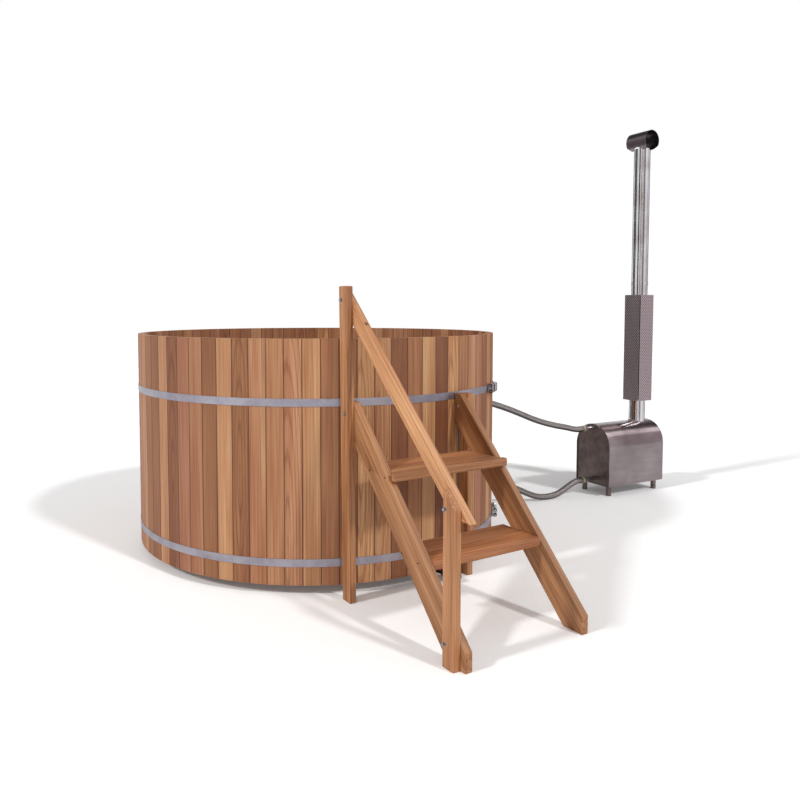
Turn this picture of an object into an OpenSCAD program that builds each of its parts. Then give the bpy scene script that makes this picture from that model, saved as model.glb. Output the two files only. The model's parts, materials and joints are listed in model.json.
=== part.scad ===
// Wood fired hot tub: a coopered cedar tub with a bench inside, a boarding
// ladder, and a water jacket stove joined to the tub by two ribbed hoses.
// The origin is on the ground under the middle of the tub. X runs to the
// right towards the stove, Y runs back and Z up.

/* [Tub] */
// Outside diameter over the staves
tub_d = 2133.6; // [2110:0.1:2160]
// Number of staves round the tub
stave_count = 76; // [64:1:88]
// Length of a stave
stave_l = 1194; // [1000:1:1400]
// Thickness of a stave
stave_t = 38; // [34:1:42]
// Height of the lower ends of the staves above the ground
stave_rise = 50; // [45:1:70]
// Thickness of the floor boards
floor_t = 38; // [28:1:45]
// Width of a floor board
floor_board_w = 140; // [90:1:190]
// Depth of the groove that holds the floor
groove_d = 12; // [8:1:16]
// Height of a floor joist
joist_h = 89; // [80:1:110]
// Width of a floor joist
joist_w = 89; // [60:1:120]
// Distance between the middles of two joists, as a share of the tub's radius
joist_share = 0.375; // [0.3:0.005:0.39]

/* [Hoops] */
// Width of a steel hoop
hoop_w = 38; // [25:1:50]
// Thickness of a steel hoop
hoop_t = 2; // [1.5:0.1:3]
// From the rim down to the middle of the upper hoop
upper_hoop_drop = 305; // [200:1:400]
// From the lower ends of the staves up to the middle of the lower hoop
lower_hoop_lift = 111; // [90:1:140]
// Opening between the two ends of a hoop
hoop_gap = 60; // [40:1:80]
// Diameter of a draw rod
rod_d = 10; // [8:1:12]

/* [Bench] */
// Height of the seat above the floor boards
seat_rise = 420; // [360:1:480]
// Depth of the bench from the wall of the tub
bench_depth = 424; // [400:1:440]
// Width of a seat slat
slat_w = 98; // [80:1:104]
// Thickness of a seat slat
slat_t = 38; // [28:1:45]

/* [Ladder] */
// Width over the outer faces of the two stringers
ladder_w = 672; // [560:1:760]
// Thickness of every ladder board
board_t = 35; // [32:1:40]
// Width of a stringer board
stringer_w = 134; // [110:1:150]
// Slope of the stringers from the ground
stringer_slope = 46.4; // [44:0.1:48]
// Height of the level top of the stringers
stringer_top = 950; // [900:1:990]
// Depth of the posts
post_d = 70; // [60:1:90]
// Height of the tall post
tall_post_h = 1492; // [1440:1:1560]
// Width of the handrail board
rail_w = 70; // [60:1:80]
// Slope of the handrail from the ground
rail_slope = 43.95; // [43:0.05:45]
// Height of the upper tread
upper_tread_z = 673; // [640:1:700]
// Height of the lower tread
lower_tread_z = 356; // [330:1:380]
// Width of a tread board
tread_board_w = 124; // [115:1:130]

/* [Stove] */
// Length of the stove body
stove_l = 574; // [520:1:640]
// Width of the stove body
stove_w = 330; // [320:1:350]
// Height of the stove body's underside
stove_rise = 74; // [60:1:85]
// Height of the middle of the arched top
arch_z = 361; // [350:1:380]
// Thickness of the stove's sheet steel
sheet_t = 3; // [2:0.5:4]
// Width of the water space round the firebox
water_w = 30; // [26:1:34]
// Outside diameter of the chimney pipe
pipe_d = 120; // [112:1:126]
// Wall of the chimney pipe
pipe_t = 3; // [1.5:0.5:4]
// Height of the joint between the two chimney pipes
pipe_joint_z = 1583; // [1520:1:1700]
// Height of the middle of the cowl
cowl_z = 2661; // [2400:1:2800]
// Outside diameter of the cowl
cowl_d = 150; // [140:1:170]
// Side of the square heat guard
guard_w = 147; // [142:1:170]

/* [Hoses] */
// Outside diameter over the ribs
hose_d = 44; // [38:1:46]
// Bore of a hose
hose_bore = 28; // [20:1:30]
// Distance from rib to rib
rib_pitch = 20; // [18:1:30]

/* [Hidden] */
$fn = 96;

// Clearances and cutting overrun
over = 5;
close_fit = 0.1;
loose_fit = 0.3;
wood_fit = 0.5;

// Routes of the two hoses, from the tub to the stove, for a hose end that
// stands port_stand_off outside the tub
port_stand_off = 69.55;
upper_points = [
    [1064, 399, 750], [1112, 417, 750], [1160, 435, 742], [1215, 456, 725], [1270, 477, 706],
    [1350, 507, 676], [1445, 543, 636], [1540, 579, 596], [1635, 615, 563], [1730, 651, 537],
    [1830, 689, 514], [1878, 707, 501], [1920, 723, 496], [1965, 744, 496]];
lower_points = [
    [1064, 399, 232], [1112, 417, 232], [1160, 435, 224], [1215, 456, 204], [1290, 484, 168],
    [1365, 513, 128], [1440, 541, 90], [1510, 568, 56], [1575, 592, 32], [1635, 615, 23],
    [1690, 636, 23], [1740, 655, 31], [1790, 674, 50], [1835, 691, 75], [1880, 708, 98],
    [1920, 723, 110], [1965, 744, 110]];

// Tub
tub_r = tub_d / 2;
port_reach = tub_r + port_stand_off;
port_turn = atan2(upper_points[0][1], upper_points[0][0]);
route_shift = (port_reach - norm([upper_points[0][0], upper_points[0][1]])) * [cos(port_turn), sin(port_turn), 0];
upper_route = [for (p = upper_points) p + route_shift];
lower_route = [for (p = lower_points) p + route_shift];
seam_turn = 0.504;
stave_gap = 0.4;
stave_edge = 1.5;
outer_flat_r = tub_r * cos(180 / stave_count);
inner_flat_r = outer_flat_r - stave_t;
rim_z = stave_rise + stave_l;
groove_r = inner_flat_r + groove_d;
floor_r = groove_r - wood_fit;
floor_top = joist_h + floor_t;
board_gap = 0.6;
joist_in = 126.8;
joist_reach = tub_d / 2 - joist_in;
joist_pitch = joist_share * tub_d / 2;
joist_side_count = 2;
quarter_count = 4;

// Hoops and their draw lugs
hoop_fit = 0.2;
hoop_facets = 360;
hoop_r = tub_r + hoop_fit;
band_r = hoop_r + hoop_t;
upper_hoop_z = rim_z - upper_hoop_drop;
lower_hoop_z = stave_rise + lower_hoop_lift;
upper_lug_angle = -24;
lower_lug_angle = -10;
lug_l = 28;
lug_out = 33;
lug_foot_h = 56;
lug_head_h = 46;
lug_slope_share = 0.7;
rod_fit = 0.4;
rod_spread = 16;
rod_out = 18;
nut_h = 9;
nut_d = 21.9;
rod_end = 6;
nut_gap = 1.4;

// Bench
seat_z = floor_top + seat_rise;
bench_wall_gap = 4;
seat_in = inner_flat_r - bench_wall_gap - bench_depth;
slat_gap = 6;
slat_count = 4;
bench_sides = 6;
mitre_gap = 4;
support_t = 38;
support_set = 10;
ladder_az = 25.1;

// Water ports, placed by the hose ends
port_zs = [upper_route[0][2], lower_route[0][2]];
port_seat_cut = 3;
port_outer_seat = tub_r - port_seat_cut;
port_inner_seat = inner_flat_r + port_seat_cut / 2;
port_body_d = 48;
port_hole_d = port_body_d + 2;
port_flange_d = 90;
port_flange_t = 8;
port_spot_d = port_flange_d + 4;
gasket_t = 3;
port_nut_d = 80;
port_nut_t = 12;
port_in_l = 26;
port_neck_l = 28;
strainer_d = 56;
strainer_t = 3;
strainer_l = 20;
strainer_hole_d = 8;
strainer_hole_r = 15;
strainer_hole_count = 8;
tub_hex_d = 56;

// Drain
drain_side_share = 0.623;
drain_az = ladder_az + asin(drain_side_share * ladder_w / 2 / tub_r);
// It stands midway between the two outer joists
drain_row = 1.5;
drain_r = drain_row * joist_pitch / cos(drain_az);
drain_pipe_d = 33.4;
drain_bore = 26;
drain_under = 1.3;
drain_z = stave_rise - drain_pipe_d / 2 - drain_under;
drain_flange_d = 100;
drain_flange_t = 6;
drain_neck_d = 38;
drain_neck_l = 66;
elbow_wall = 4;
elbow_d = drain_neck_d + 2 * elbow_wall;
elbow_l = 50;
valve_gap = 12;
valve_x = tub_r + valve_gap;
valve_l = 70;
valve_d = 54;
valve_end_d = 46;
valve_socket = 14;
ball_d = 38;
ball_bore = 24;
stem_d = 10;
stem_rise = 12;
lever_t = 4;
lever_l = 62;
lever_w = 16;
spout_l = 40;
spout_bore = 28;

// Ladder, in its own frame: r runs outwards from the front of the rear posts
ladder_turn = 27.9;
ladder_stand_off = 0.3;
ladder_out = [sin(ladder_turn), -cos(ladder_turn)];
ladder_side = [cos(ladder_turn), sin(ladder_turn)];
ladder_ray = [sin(ladder_az), -cos(ladder_az)];
// The inner back corner of the right stringer stands just off the hoop
ladder_corner = (ladder_w / 2 - board_t) * ladder_side - post_d * ladder_out;
ladder_touch_r = band_r + ladder_stand_off;
ladder_dist = -(ladder_ray * ladder_corner)
    + sqrt(pow(ladder_ray * ladder_corner, 2) - ladder_corner * ladder_corner + pow(ladder_touch_r, 2));
ladder_at = ladder_dist * ladder_ray;
post_lean = 1.2;
post_edge = 4;
stringer_low = 728.5;
stringer_foot_r = 803;
stringer_dz = stringer_w / cos(stringer_slope);
rail_drop = 213.8;
rail_low = tall_post_h - rail_drop;
rail_dz = rail_w / cos(rail_slope);
rail_end_z = 580;
short_post_set = 99;
short_post_r = stringer_foot_r - short_post_set;
upper_tread_r = 54;
lower_tread_r = 304;
tread_t = 38;
tread_gap = 3;
tread_boards = 2;
tread_ear = 24;
tread_pitch = tread_board_w + tread_gap;
tread_side_gap = 0.2;
screw_d = 5;
screw_head_d = 9;
screw_head_h = 4;
screw_l = 80;
screw_edge = 12;
bolt_d = 8;
bolt_hole_d = 8.6;
bolt_head_d = 18;
bolt_head_h = 4;
washer_d = 20;
washer_t = 1.5;
dome_nut_d = 15;
dome_nut_h = 6;
dome_d = 12;
bolt_end = 6;
// Bolts as [r, z, side], where side is -1 on the left and 1 on the right
ladder_bolt_places = [
    [post_back(tall_post_h) + post_d / 3, rail_high_z(post_back(tall_post_h) + post_d / 3) - rail_w / 3, -1],
    [post_d / 3 - post_d, stringer_top - stringer_w * 0.4, -1],
    [short_post_r + post_d / 6, rail_low_z(short_post_r + post_d / 6) + rail_dz / 3, -1],
    [short_post_r + post_d / 6, stringer_high_z(short_post_r + post_d / 6) - stringer_dz * 0.4, -1],
    [post_d / 3 - post_d, stringer_top - stringer_w * 0.5, 1]];

// Stove, in its own frame: s runs from the port end to the door end, e across
stove_turn = atan2(7, 15);
conn_stub_l = 68;
conn_hex_l = 34;
conn_hex_d = 44;
stub_d = 27;
stub_bore = 20;
stub_seat = 14;
stub_zs = [upper_route[len(upper_route) - 1][2], lower_route[len(lower_route) - 1][2]];
stove_dir = [cos(stove_turn), sin(stove_turn)];
stove_cross = [-sin(stove_turn), cos(stove_turn)];
hose_end = [upper_route[len(upper_route) - 1][0], upper_route[len(upper_route) - 1][1]];
stove_at = hose_end + (conn_stub_l + conn_hex_l) * stove_dir - stove_w / 2 * stove_cross;
end_set = 8;
weld_gap = 0.1;
plate_out_s = stove_l - end_set;
fire_g = sheet_t + water_w;
fire_s = 45;
foot_d = 38;
foot_t = 3;
foot_set = 46;
flue_s = 467;
collar_d = pipe_d - 2 * pipe_t - 2 * close_fit;
collar_t = 3;
collar_rise = 34;
collar_drop = 56;
ring_t = 2;
ring_h = 30;
pipe_in_cowl = 10;
cowl_t = 2;
cowl_l = 182;
cowl_cut = 65;
cowl_corner = 26;
guard_low = 680;
guard_high = 1495;
guard_t = 1.5;
guard_seam = 6;
spacer_d = 10;
spacer_set = 90;

// Fire door, ash door and grate
fire_hole_w = 220;
fire_hole_low = 195;
fire_hole_high = 385;
ash_hole_w = 210;
ash_hole_low = stove_rise + fire_g + sheet_t;
ash_hole_h = 58;
ash_hole_high = ash_hole_low + ash_hole_h;
door_lap = 20;
door_t = 4;
door_gap = 1;
door_s = plate_out_s + door_gap;
door_low = fire_hole_low - door_lap;
door_high = fire_hole_high + door_lap;
hinge_e = 22;
hinge_s = plate_out_s + 9;
knuckle_d = 14;
knuckle_h = 18;
knuckle_gap = 0.5;
hinge_pin_d = 8;
hinge_run = 0.05;
pin_head_h = 3;
strap_t = 4;
strap_l = 70;
hinge_zs = [door_low + door_lap, door_high - door_lap - 2 * knuckle_h];
latch_set = 62;
latch_e = stove_w - latch_set;
latch_z = (door_low + door_high) / 2;
latch_pin_d = 10;
latch_w = 16;
latch_t = 5;
latch_tongue = 44;
latch_grip = 84;
latch_gap = 0.5;
latch_lift = 60;
stud_head_d = 18;
stud_head_h = 3;
keeper_w = 14;
keeper_t = 4;
keeper_lip = 22;
grip_d = 20;
grip_l = 46;
drawer_w = 200;
drawer_l = 420;
drawer_h = 50;
drawer_t = 2;
drawer_run = 0.4;
ash_front_w = 240;
ash_front_over = 5;
ash_front_t = 4;
ash_knob_d = 24;
ash_knob_l = 26;
ash_neck_d = 12;
grate_z = 182;
bar_w = 14;
bar_t = 12;
bar_count = 8;
ledge_w = 14;
ledge_t = 6;

// Hoses
hose_sides = 8;
rib_depth = 2.4;
cuff_l = hose_d;

// Stringer, rail and post lines, as functions of r or z
function stringer_low_z(r) = stringer_low - r * tan(stringer_slope);
function stringer_high_z(r) = stringer_low_z(r) + stringer_dz;
function stringer_low_r(z) = (stringer_low - z) / tan(stringer_slope);
function stringer_high_r(z) = (stringer_low + stringer_dz - z) / tan(stringer_slope);
function rail_low_z(r) = rail_low - r * tan(rail_slope);
function rail_high_z(r) = rail_low_z(r) + rail_dz;
function rail_low_r(z) = (rail_low - z) / tan(rail_slope);
function rail_high_r(z) = (rail_low + rail_dz - z) / tan(rail_slope);
function post_front(z) = -z * tan(post_lean);
function post_back(z) = post_front(z) - post_d;

// Staves

module stave() {
    half = tan(180 / stave_count);
    edge_r = outer_flat_r - stave_edge;
    side = [inner_flat_r * half, edge_r * half, outer_flat_r * half - stave_edge];
    ys = [for (y = side) y - stave_gap / 2];
    translate([0, 0, stave_rise])
        linear_extrude(stave_l)
            polygon([
                [inner_flat_r, -ys[0]], [edge_r, -ys[1]], [outer_flat_r, -ys[2]],
                [outer_flat_r, ys[2]], [edge_r, ys[1]], [inner_flat_r, ys[0]]]);
}

module port_cuts() {
    for (z = port_zs)
        rotate([0, 0, port_turn])
            translate([0, 0, z])
                rotate([0, 90, 0]) {
                    translate([0, 0, inner_flat_r - stave_t])
                        cylinder(d = port_hole_d, h = 3 * stave_t);
                    translate([0, 0, port_outer_seat])
                        cylinder(d = port_spot_d, h = stave_t);
                    translate([0, 0, port_inner_seat - stave_t])
                        cylinder(d = port_spot_d, h = stave_t);
                }
}

// One quarter of the tub's wall
module stave_quarter(quarter) {
    step = 360 / stave_count;
    first = round(quarter * stave_count / quarter_count);
    last = round((quarter + 1) * stave_count / quarter_count) - 1;
    shift = round(stave_count / quarter_count / 2);
    difference() {
        for (i = [first:last])
            rotate([0, 0, seam_turn - 90 + step * (i - shift + 0.5)])
                stave();
        translate([0, 0, joist_h - loose_fit])
            cylinder(r = groove_r, h = floor_t + 2 * loose_fit);
        port_cuts();
    }
}

module front_staves() {
    color("burlywood")
        stave_quarter(0);
}

module right_staves() {
    color("tan")
        stave_quarter(1);
}

module back_staves() {
    color("burlywood")
        stave_quarter(2);
}

module left_staves() {
    color("tan")
        stave_quarter(3);
}

// Floor

module floor_boards() {
    count = ceil(floor_r / floor_board_w);
    color("peru")
        difference() {
            intersection() {
                for (i = [-count:count])
                    translate([i * floor_board_w - floor_board_w / 2, -floor_r - over, joist_h])
                        cube([floor_board_w - board_gap, 2 * (floor_r + over), floor_t]);
                translate([0, 0, joist_h - over])
                    cylinder(r = floor_r, h = floor_t + 2 * over);
            }
            at_drain()
                translate([drain_r, 0, 0])
                    cylinder(d = drain_neck_d + 2 * wood_fit, h = floor_top + over);
        }
}

module joist(row) {
    y = row * joist_pitch;
    half = sqrt(pow(joist_reach, 2) - pow(abs(y) + joist_w / 2, 2));
    translate([-half, y - joist_w / 2, 0])
        cube([2 * half, joist_w, joist_h]);
}

module centre_joist() {
    color("sienna")
        joist(0);
}

module side_joists() {
    color("sienna")
        for (row = [-joist_side_count:joist_side_count])
            if (row != 0)
                joist(row);
}

// Hoops

function hoop_gap_turn() = hoop_gap / band_r * 180 / PI;
function lug_turn() = (hoop_gap + lug_l) / 2 / band_r * 180 / PI;

module hoop(z, turn) {
    rotate([0, 0, turn + hoop_gap_turn() / 2])
        rotate_extrude(angle = 360 - hoop_gap_turn(), $fn = hoop_facets)
            translate([hoop_r, z - hoop_w / 2])
                square([hoop_t, hoop_w]);
}

module upper_hoop() {
    color("lightsteelblue")
        hoop(upper_hoop_z, upper_lug_angle);
}

module lower_hoop() {
    color("lightsteelblue")
        hoop(lower_hoop_z, lower_lug_angle);
}

module at_rods() {
    for (place = [[upper_hoop_z, upper_lug_angle], [lower_hoop_z, lower_lug_angle]])
        rotate([0, 0, place[1]])
            translate([band_r + rod_out, 0, place[0]])
                for (up = [-1, 1])
                    translate([0, 0, up * rod_spread])
                        rotate([90, 0, 0])
                            children();
}

module lug_block() {
    translate([band_r + close_fit, lug_l / 2, 0])
        rotate([90, 0, 0])
            linear_extrude(lug_l)
                polygon([
                    [0, -lug_foot_h / 2], [lug_out * lug_slope_share, -lug_foot_h / 2], [lug_out, -lug_head_h / 2],
                    [lug_out, lug_head_h / 2], [lug_out * lug_slope_share, lug_foot_h / 2], [0, lug_foot_h / 2]]);
}

module hoop_lugs() {
    color("silver")
        difference() {
            for (place = [[upper_hoop_z, upper_lug_angle], [lower_hoop_z, lower_lug_angle]])
                for (side = [-1, 1])
                    rotate([0, 0, place[1] + side * lug_turn()])
                        translate([0, 0, place[0]])
                            lug_block();
            at_rods()
                cylinder(d = rod_d + 2 * rod_fit, h = 2 * hoop_gap + 4 * lug_l, center = true);
        }
}

module draw_rods() {
    length = hoop_gap + 2 * (lug_l + nut_gap + nut_h + rod_end);
    color("gainsboro")
        at_rods()
            cylinder(d = rod_d, h = length, center = true);
}

module rod_nuts() {
    color("dimgray")
        at_rods()
            for (side = [-1, 1])
                translate([0, 0, side * (hoop_gap / 2 + lug_l + nut_gap + nut_h / 2)])
                    difference() {
                        cylinder(d = nut_d, h = nut_h, center = true, $fn = 6);
                        cylinder(d = rod_d + close_fit, h = nut_h + over, center = true);
                    }
}

// Bench

module bench_wedge() {
    half = 180 / bench_sides;
    reach = tub_r;
    linear_extrude(slat_t)
        intersection() {
            translate([mitre_gap, 0])
                polygon([[0, 0], [reach, -reach * tan(half)], [reach, reach * tan(half)]]);
            circle(r = inner_flat_r - bench_wall_gap);
            for (i = [0:slat_count - 1])
                translate([seat_in + i * (slat_w + slat_gap), -reach])
                    square([slat_w, 2 * reach]);
        }
}

module bench_seats() {
    color("sandybrown")
        for (k = [1:bench_sides - 1])
            rotate([0, 0, ladder_az - 90 + k * 360 / bench_sides])
                translate([0, 0, seat_z - slat_t])
                    bench_wedge();
}

// A board on edge from the bench's front edge to the tub's wall
module bench_support(start) {
    translate([start, -support_t / 2, floor_top])
        cube([inner_flat_r - bench_wall_gap - start, support_t, seat_z - slat_t - floor_top]);
}

module bench_supports() {
    color("peru") {
        for (k = [0:bench_sides - 1])
            rotate([0, 0, ladder_az - 90 + (k + 0.5) * 360 / bench_sides])
                bench_support(seat_in / cos(180 / bench_sides) + support_set);
        for (k = [1:bench_sides - 1])
            rotate([0, 0, ladder_az - 90 + k * 360 / bench_sides])
                bench_support(seat_in + support_set);
    }
}

// Water ports in the tub's wall

module at_ports() {
    for (z = port_zs)
        rotate([0, 0, port_turn])
            translate([0, 0, z])
                rotate([0, 90, 0])
                    children();
}

module port_bodies() {
    flange_x = port_outer_seat + gasket_t;
    color("silver")
        at_ports()
            difference() {
                union() {
                    translate([0, 0, port_inner_seat - port_in_l])
                        cylinder(d = port_body_d, h = flange_x - port_inner_seat + port_in_l + port_neck_l);
                    translate([0, 0, flange_x])
                        cylinder(d = port_flange_d, h = port_flange_t);
                }
                cylinder(d = hose_bore, h = 2 * tub_r);
            }
}

module port_gaskets() {
    color("black")
        at_ports()
            translate([0, 0, port_outer_seat])
                difference() {
                    cylinder(d = port_flange_d, h = gasket_t);
                    translate([0, 0, -over])
                        cylinder(d = port_body_d + close_fit, h = gasket_t + 2 * over);
                }
}

module port_nuts() {
    color("silver")
        at_ports()
            translate([0, 0, port_inner_seat - port_nut_t])
                difference() {
                    cylinder(d = port_nut_d, h = port_nut_t, $fn = 6);
                    translate([0, 0, -over])
                        cylinder(d = port_body_d + close_fit, h = port_nut_t + 2 * over);
                }
}

module port_strainers() {
    color("white")
        at_ports()
            translate([0, 0, port_inner_seat - port_nut_t - strainer_l])
                difference() {
                    cylinder(d = strainer_d, h = strainer_l);
                    translate([0, 0, strainer_t])
                        cylinder(d = port_body_d + close_fit, h = strainer_l);
                    for (i = [0:strainer_hole_count - 1])
                        rotate([0, 0, i * 360 / strainer_hole_count])
                            translate([strainer_hole_r, 0, -over])
                                cylinder(d = strainer_hole_d, h = strainer_t + 2 * over);
                }
}

module tub_hose_couplings() {
    start = port_outer_seat + gasket_t + port_neck_l;
    color("goldenrod")
        at_ports()
            translate([0, 0, start])
                difference() {
                    cylinder(d = tub_hex_d, h = port_reach - start, $fn = 6);
                    translate([0, 0, -over])
                        cylinder(d = hose_bore, h = port_reach - start + 2 * over);
                }
}

// Drain

module at_drain() {
    rotate([0, 0, drain_az - 90])
        children();
}

module along_drain(x) {
    at_drain()
        translate([x, 0, drain_z])
            rotate([0, 90, 0])
                children();
}

module drain_flange() {
    color("silver")
        at_drain()
            translate([drain_r, 0, 0])
                difference() {
                    union() {
                        translate([0, 0, floor_top])
                            cylinder(d = drain_flange_d, h = drain_flange_t);
                        translate([0, 0, floor_top - drain_neck_l])
                            cylinder(d = drain_neck_d, h = drain_neck_l + drain_flange_t);
                    }
                    cylinder(d = drain_bore, h = floor_top + drain_flange_t + over);
                }
}

module drain_elbow() {
    color("black")
        difference() {
            union() {
                at_drain()
                    translate([drain_r, 0, drain_z])
                        cylinder(d = elbow_d, h = joist_h - drain_z - wood_fit);
                at_drain()
                    translate([drain_r, 0, drain_z])
                        sphere(d = elbow_d);
                along_drain(drain_r)
                    cylinder(d = elbow_d, h = elbow_l);
            }
            at_drain()
                translate([drain_r, 0, drain_z])
                    cylinder(d = drain_bore, h = floor_top);
            at_drain()
                translate([drain_r, 0, floor_top - drain_neck_l])
                    cylinder(d = drain_neck_d + close_fit, h = floor_top);
            along_drain(drain_r)
                cylinder(d = drain_bore, h = elbow_l + over);
            along_drain(drain_r + elbow_l / 2)
                cylinder(d = drain_pipe_d + close_fit, h = elbow_l);
        }
}

module drain_pipe() {
    start = drain_r + elbow_l / 2;
    length = valve_x + valve_socket - start;
    color("black")
        along_drain(start)
            difference() {
                cylinder(d = drain_pipe_d, h = length);
                translate([0, 0, -over])
                    cylinder(d = drain_bore, h = length + 2 * over);
            }
}

module drain_valve() {
    color("black")
        difference() {
            union() {
                along_drain(valve_x)
                    cylinder(d = valve_end_d, h = valve_l);
                along_drain(valve_x + valve_socket)
                    cylinder(d = valve_d, h = valve_l - 2 * valve_socket);
                at_drain()
                    translate([valve_x + valve_l / 2, 0, drain_z])
                        cylinder(d = 2 * stem_d, h = valve_d / 2 + stem_rise / 2);
            }
            along_drain(valve_x - over)
                cylinder(d = drain_bore, h = valve_l + 2 * over);
            for (x = [valve_x - over, valve_x + valve_l - valve_socket])
                along_drain(x)
                    cylinder(d = drain_pipe_d + close_fit, h = valve_socket + over);
            at_drain()
                translate([valve_x + valve_l / 2, 0, drain_z]) {
                    sphere(d = ball_d + 2 * loose_fit);
                    cylinder(d = stem_d + 2 * hinge_run, h = valve_d);
                }
        }
}

// The ball turns with its lever: at rest its bore lies across the pipe
module drain_ball() {
    color("silver")
        at_drain()
            translate([valve_x + valve_l / 2, 0, drain_z])
                difference() {
                    sphere(d = ball_d);
                    rotate([90, 0, 0])
                        cylinder(d = ball_bore, h = ball_d + over, center = true);
                    translate([0, 0, ball_d / 2 - elbow_wall])
                        cylinder(d = stem_d + close_fit, h = ball_d);
                }
}

module drain_lever() {
    stem_low = ball_d / 2 - elbow_wall;
    stem_high = valve_d / 2 + stem_rise;
    color("firebrick")
        at_drain()
            translate([valve_x + valve_l / 2, 0, drain_z]) {
                translate([0, 0, stem_low])
                    cylinder(d = stem_d, h = stem_high - stem_low);
                translate([0, 0, stem_high - stem_rise / 2 + knuckle_gap])
                    linear_extrude(lever_t) {
                        circle(d = 2 * stem_d);
                        translate([-lever_w / 2, -lever_l])
                            square([lever_w, lever_l]);
                        translate([0, -lever_l])
                            circle(d = lever_w);
                    }
            }
}

module drain_spout() {
    start = valve_x + valve_l - valve_socket;
    length = valve_socket + spout_l;
    color("black")
        along_drain(start)
            difference() {
                cylinder(d = drain_pipe_d, h = length);
                translate([0, 0, -over])
                    cylinder(d = spout_bore, h = length + 2 * over);
            }
}

// Ladder

module at_ladder() {
    translate([ladder_at[0], ladder_at[1], 0])
        rotate([0, 0, ladder_turn])
            children();
}

// A board whose outline is given as [r, z] points, from t to t + thick
module ladder_board(outline, t, thick) {
    translate([t, 0, 0])
        rotate([90, 0, 90])
            linear_extrude(thick)
                polygon([for (p = outline) [-p[0], p[1]]]);
}

module ladder_bolt_holes() {
    for (place = ladder_bolt_places)
        translate([place[2] * ladder_w / 2, -place[0], place[1]])
            rotate([0, 90, 0])
                cylinder(d = bolt_hole_d, h = 4 * board_t, center = true);
}

// Two rows of tread boards share one list of screws, as [r, z]
tread_screw_places = concat(
    [for (i = [0:tread_boards - 1])
        let (z = upper_tread_z - tread_t * (i == tread_boards - 1 ? 3 / 4 : 1 / 2))
        [screw_r(upper_tread_r + i * tread_pitch + tread_board_w / 2, z), z]],
    [for (i = [0:tread_boards - 1])
        let (z = lower_tread_z - tread_t * (i == 0 ? 1 / 4 : 1 / 2))
        [screw_r(lower_tread_r + i * tread_pitch + tread_board_w / 2, z), z]]);

function screw_r(mid, z) =
    max(min(mid, stringer_high_r(z) - screw_edge), stringer_low_r(z) + screw_edge);

module at_screws(side) {
    for (place = tread_screw_places)
        translate([side * ladder_w / 2, -place[0], place[1]])
            rotate([0, -side * 90, 0])
                children();
}

module screw_shape(room) {
    cylinder(d = screw_d + room, h = screw_l + room);
    translate([0, 0, -over])
        cylinder(d = screw_head_d + room, h = screw_head_h + over);
}

module stringer(side) {
    outline = [
        [-post_d, stringer_top], [stringer_high_r(stringer_top), stringer_top],
        [stringer_foot_r, stringer_high_z(stringer_foot_r)], [stringer_foot_r, 0],
        [stringer_low_r(0), 0], [-post_d, stringer_low_z(-post_d)]];
    difference() {
        ladder_board(outline, side > 0 ? ladder_w / 2 - board_t : -ladder_w / 2, board_t);
        ladder_bolt_holes();
        at_screws(side)
            screw_shape(close_fit);
    }
}

module left_stringer() {
    color("chocolate")
        at_ladder()
            stringer(-1);
}

module right_stringer() {
    color("chocolate")
        at_ladder()
            stringer(1);
}

module tread(r, z) {
    inner = ladder_w - 2 * board_t - 2 * tread_side_gap;
    difference() {
        for (i = [0:tread_boards - 1])
            let (back = r + i * tread_pitch, front = back + tread_board_w,
                 edge = stringer_high_r(z - tread_t) + tread_side_gap,
                 notched = front > edge + tread_side_gap && i == tread_boards - 1)
            translate([0, 0, z - tread_t])
                linear_extrude(tread_t)
                    polygon(concat(
                        [[-inner / 2, -back], [inner / 2, -back]],
                        // The front board's ears reach over the stringers' edges
                        notched ? [[inner / 2, -edge], [inner / 2 + tread_ear, -edge],
                                   [inner / 2 + tread_ear, -front], [-inner / 2 - tread_ear, -front],
                                   [-inner / 2 - tread_ear, -edge], [-inner / 2, -edge]]
                                : [[inner / 2, -front], [-inner / 2, -front]]));
        for (side = [-1, 1])
            at_screws(side)
                screw_shape(close_fit);
    }
}

module upper_tread() {
    color("burlywood")
        at_ladder()
            tread(upper_tread_r, upper_tread_z);
}

module lower_tread() {
    color("burlywood")
        at_ladder()
            tread(lower_tread_r, lower_tread_z);
}

module tall_post() {
    low = tall_post_h - post_edge;
    outline = [
        [post_back(0), 0], [post_front(0), 0], [post_front(low), low],
        [post_front(tall_post_h) - post_edge, tall_post_h],
        [post_back(tall_post_h) + post_edge, tall_post_h], [post_back(low), low]];
    color("peru")
        at_ladder()
            difference() {
                ladder_board(outline, -ladder_w / 2 - board_t, board_t);
                ladder_bolt_holes();
            }
}

module short_post() {
    front = short_post_r + post_d;
    outline = [
        [short_post_r, 0], [front, 0], [front, rail_high_z(front)],
        [short_post_r, rail_high_z(short_post_r)]];
    color("peru")
        at_ladder()
            difference() {
                ladder_board(outline, -ladder_w / 2 - board_t, board_t);
                ladder_bolt_holes();
            }
}

module rear_leg() {
    outline = [[-post_d, 0], [0, 0], [0, stringer_top], [-post_d, stringer_top]];
    color("peru")
        at_ladder()
            difference() {
                ladder_board(outline, ladder_w / 2, board_t);
                ladder_bolt_holes();
            }
}

module handrail() {
    back = post_back(tall_post_h);
    outline = [
        [back, rail_low_z(back)], [back, rail_high_z(back)],
        [rail_high_r(rail_end_z), rail_end_z], [rail_low_r(rail_end_z), rail_end_z]];
    color("burlywood")
        at_ladder()
            difference() {
                ladder_board(outline, -ladder_w / 2, board_t);
                ladder_bolt_holes();
            }
}

// Faces a bolt from its head, on the inner face of the board, outwards
module at_bolts() {
    for (place = ladder_bolt_places)
        translate([place[2] * (ladder_w / 2 - board_t), -place[0], place[1]])
            rotate([0, place[2] * 90, 0])
                children();
}

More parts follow.
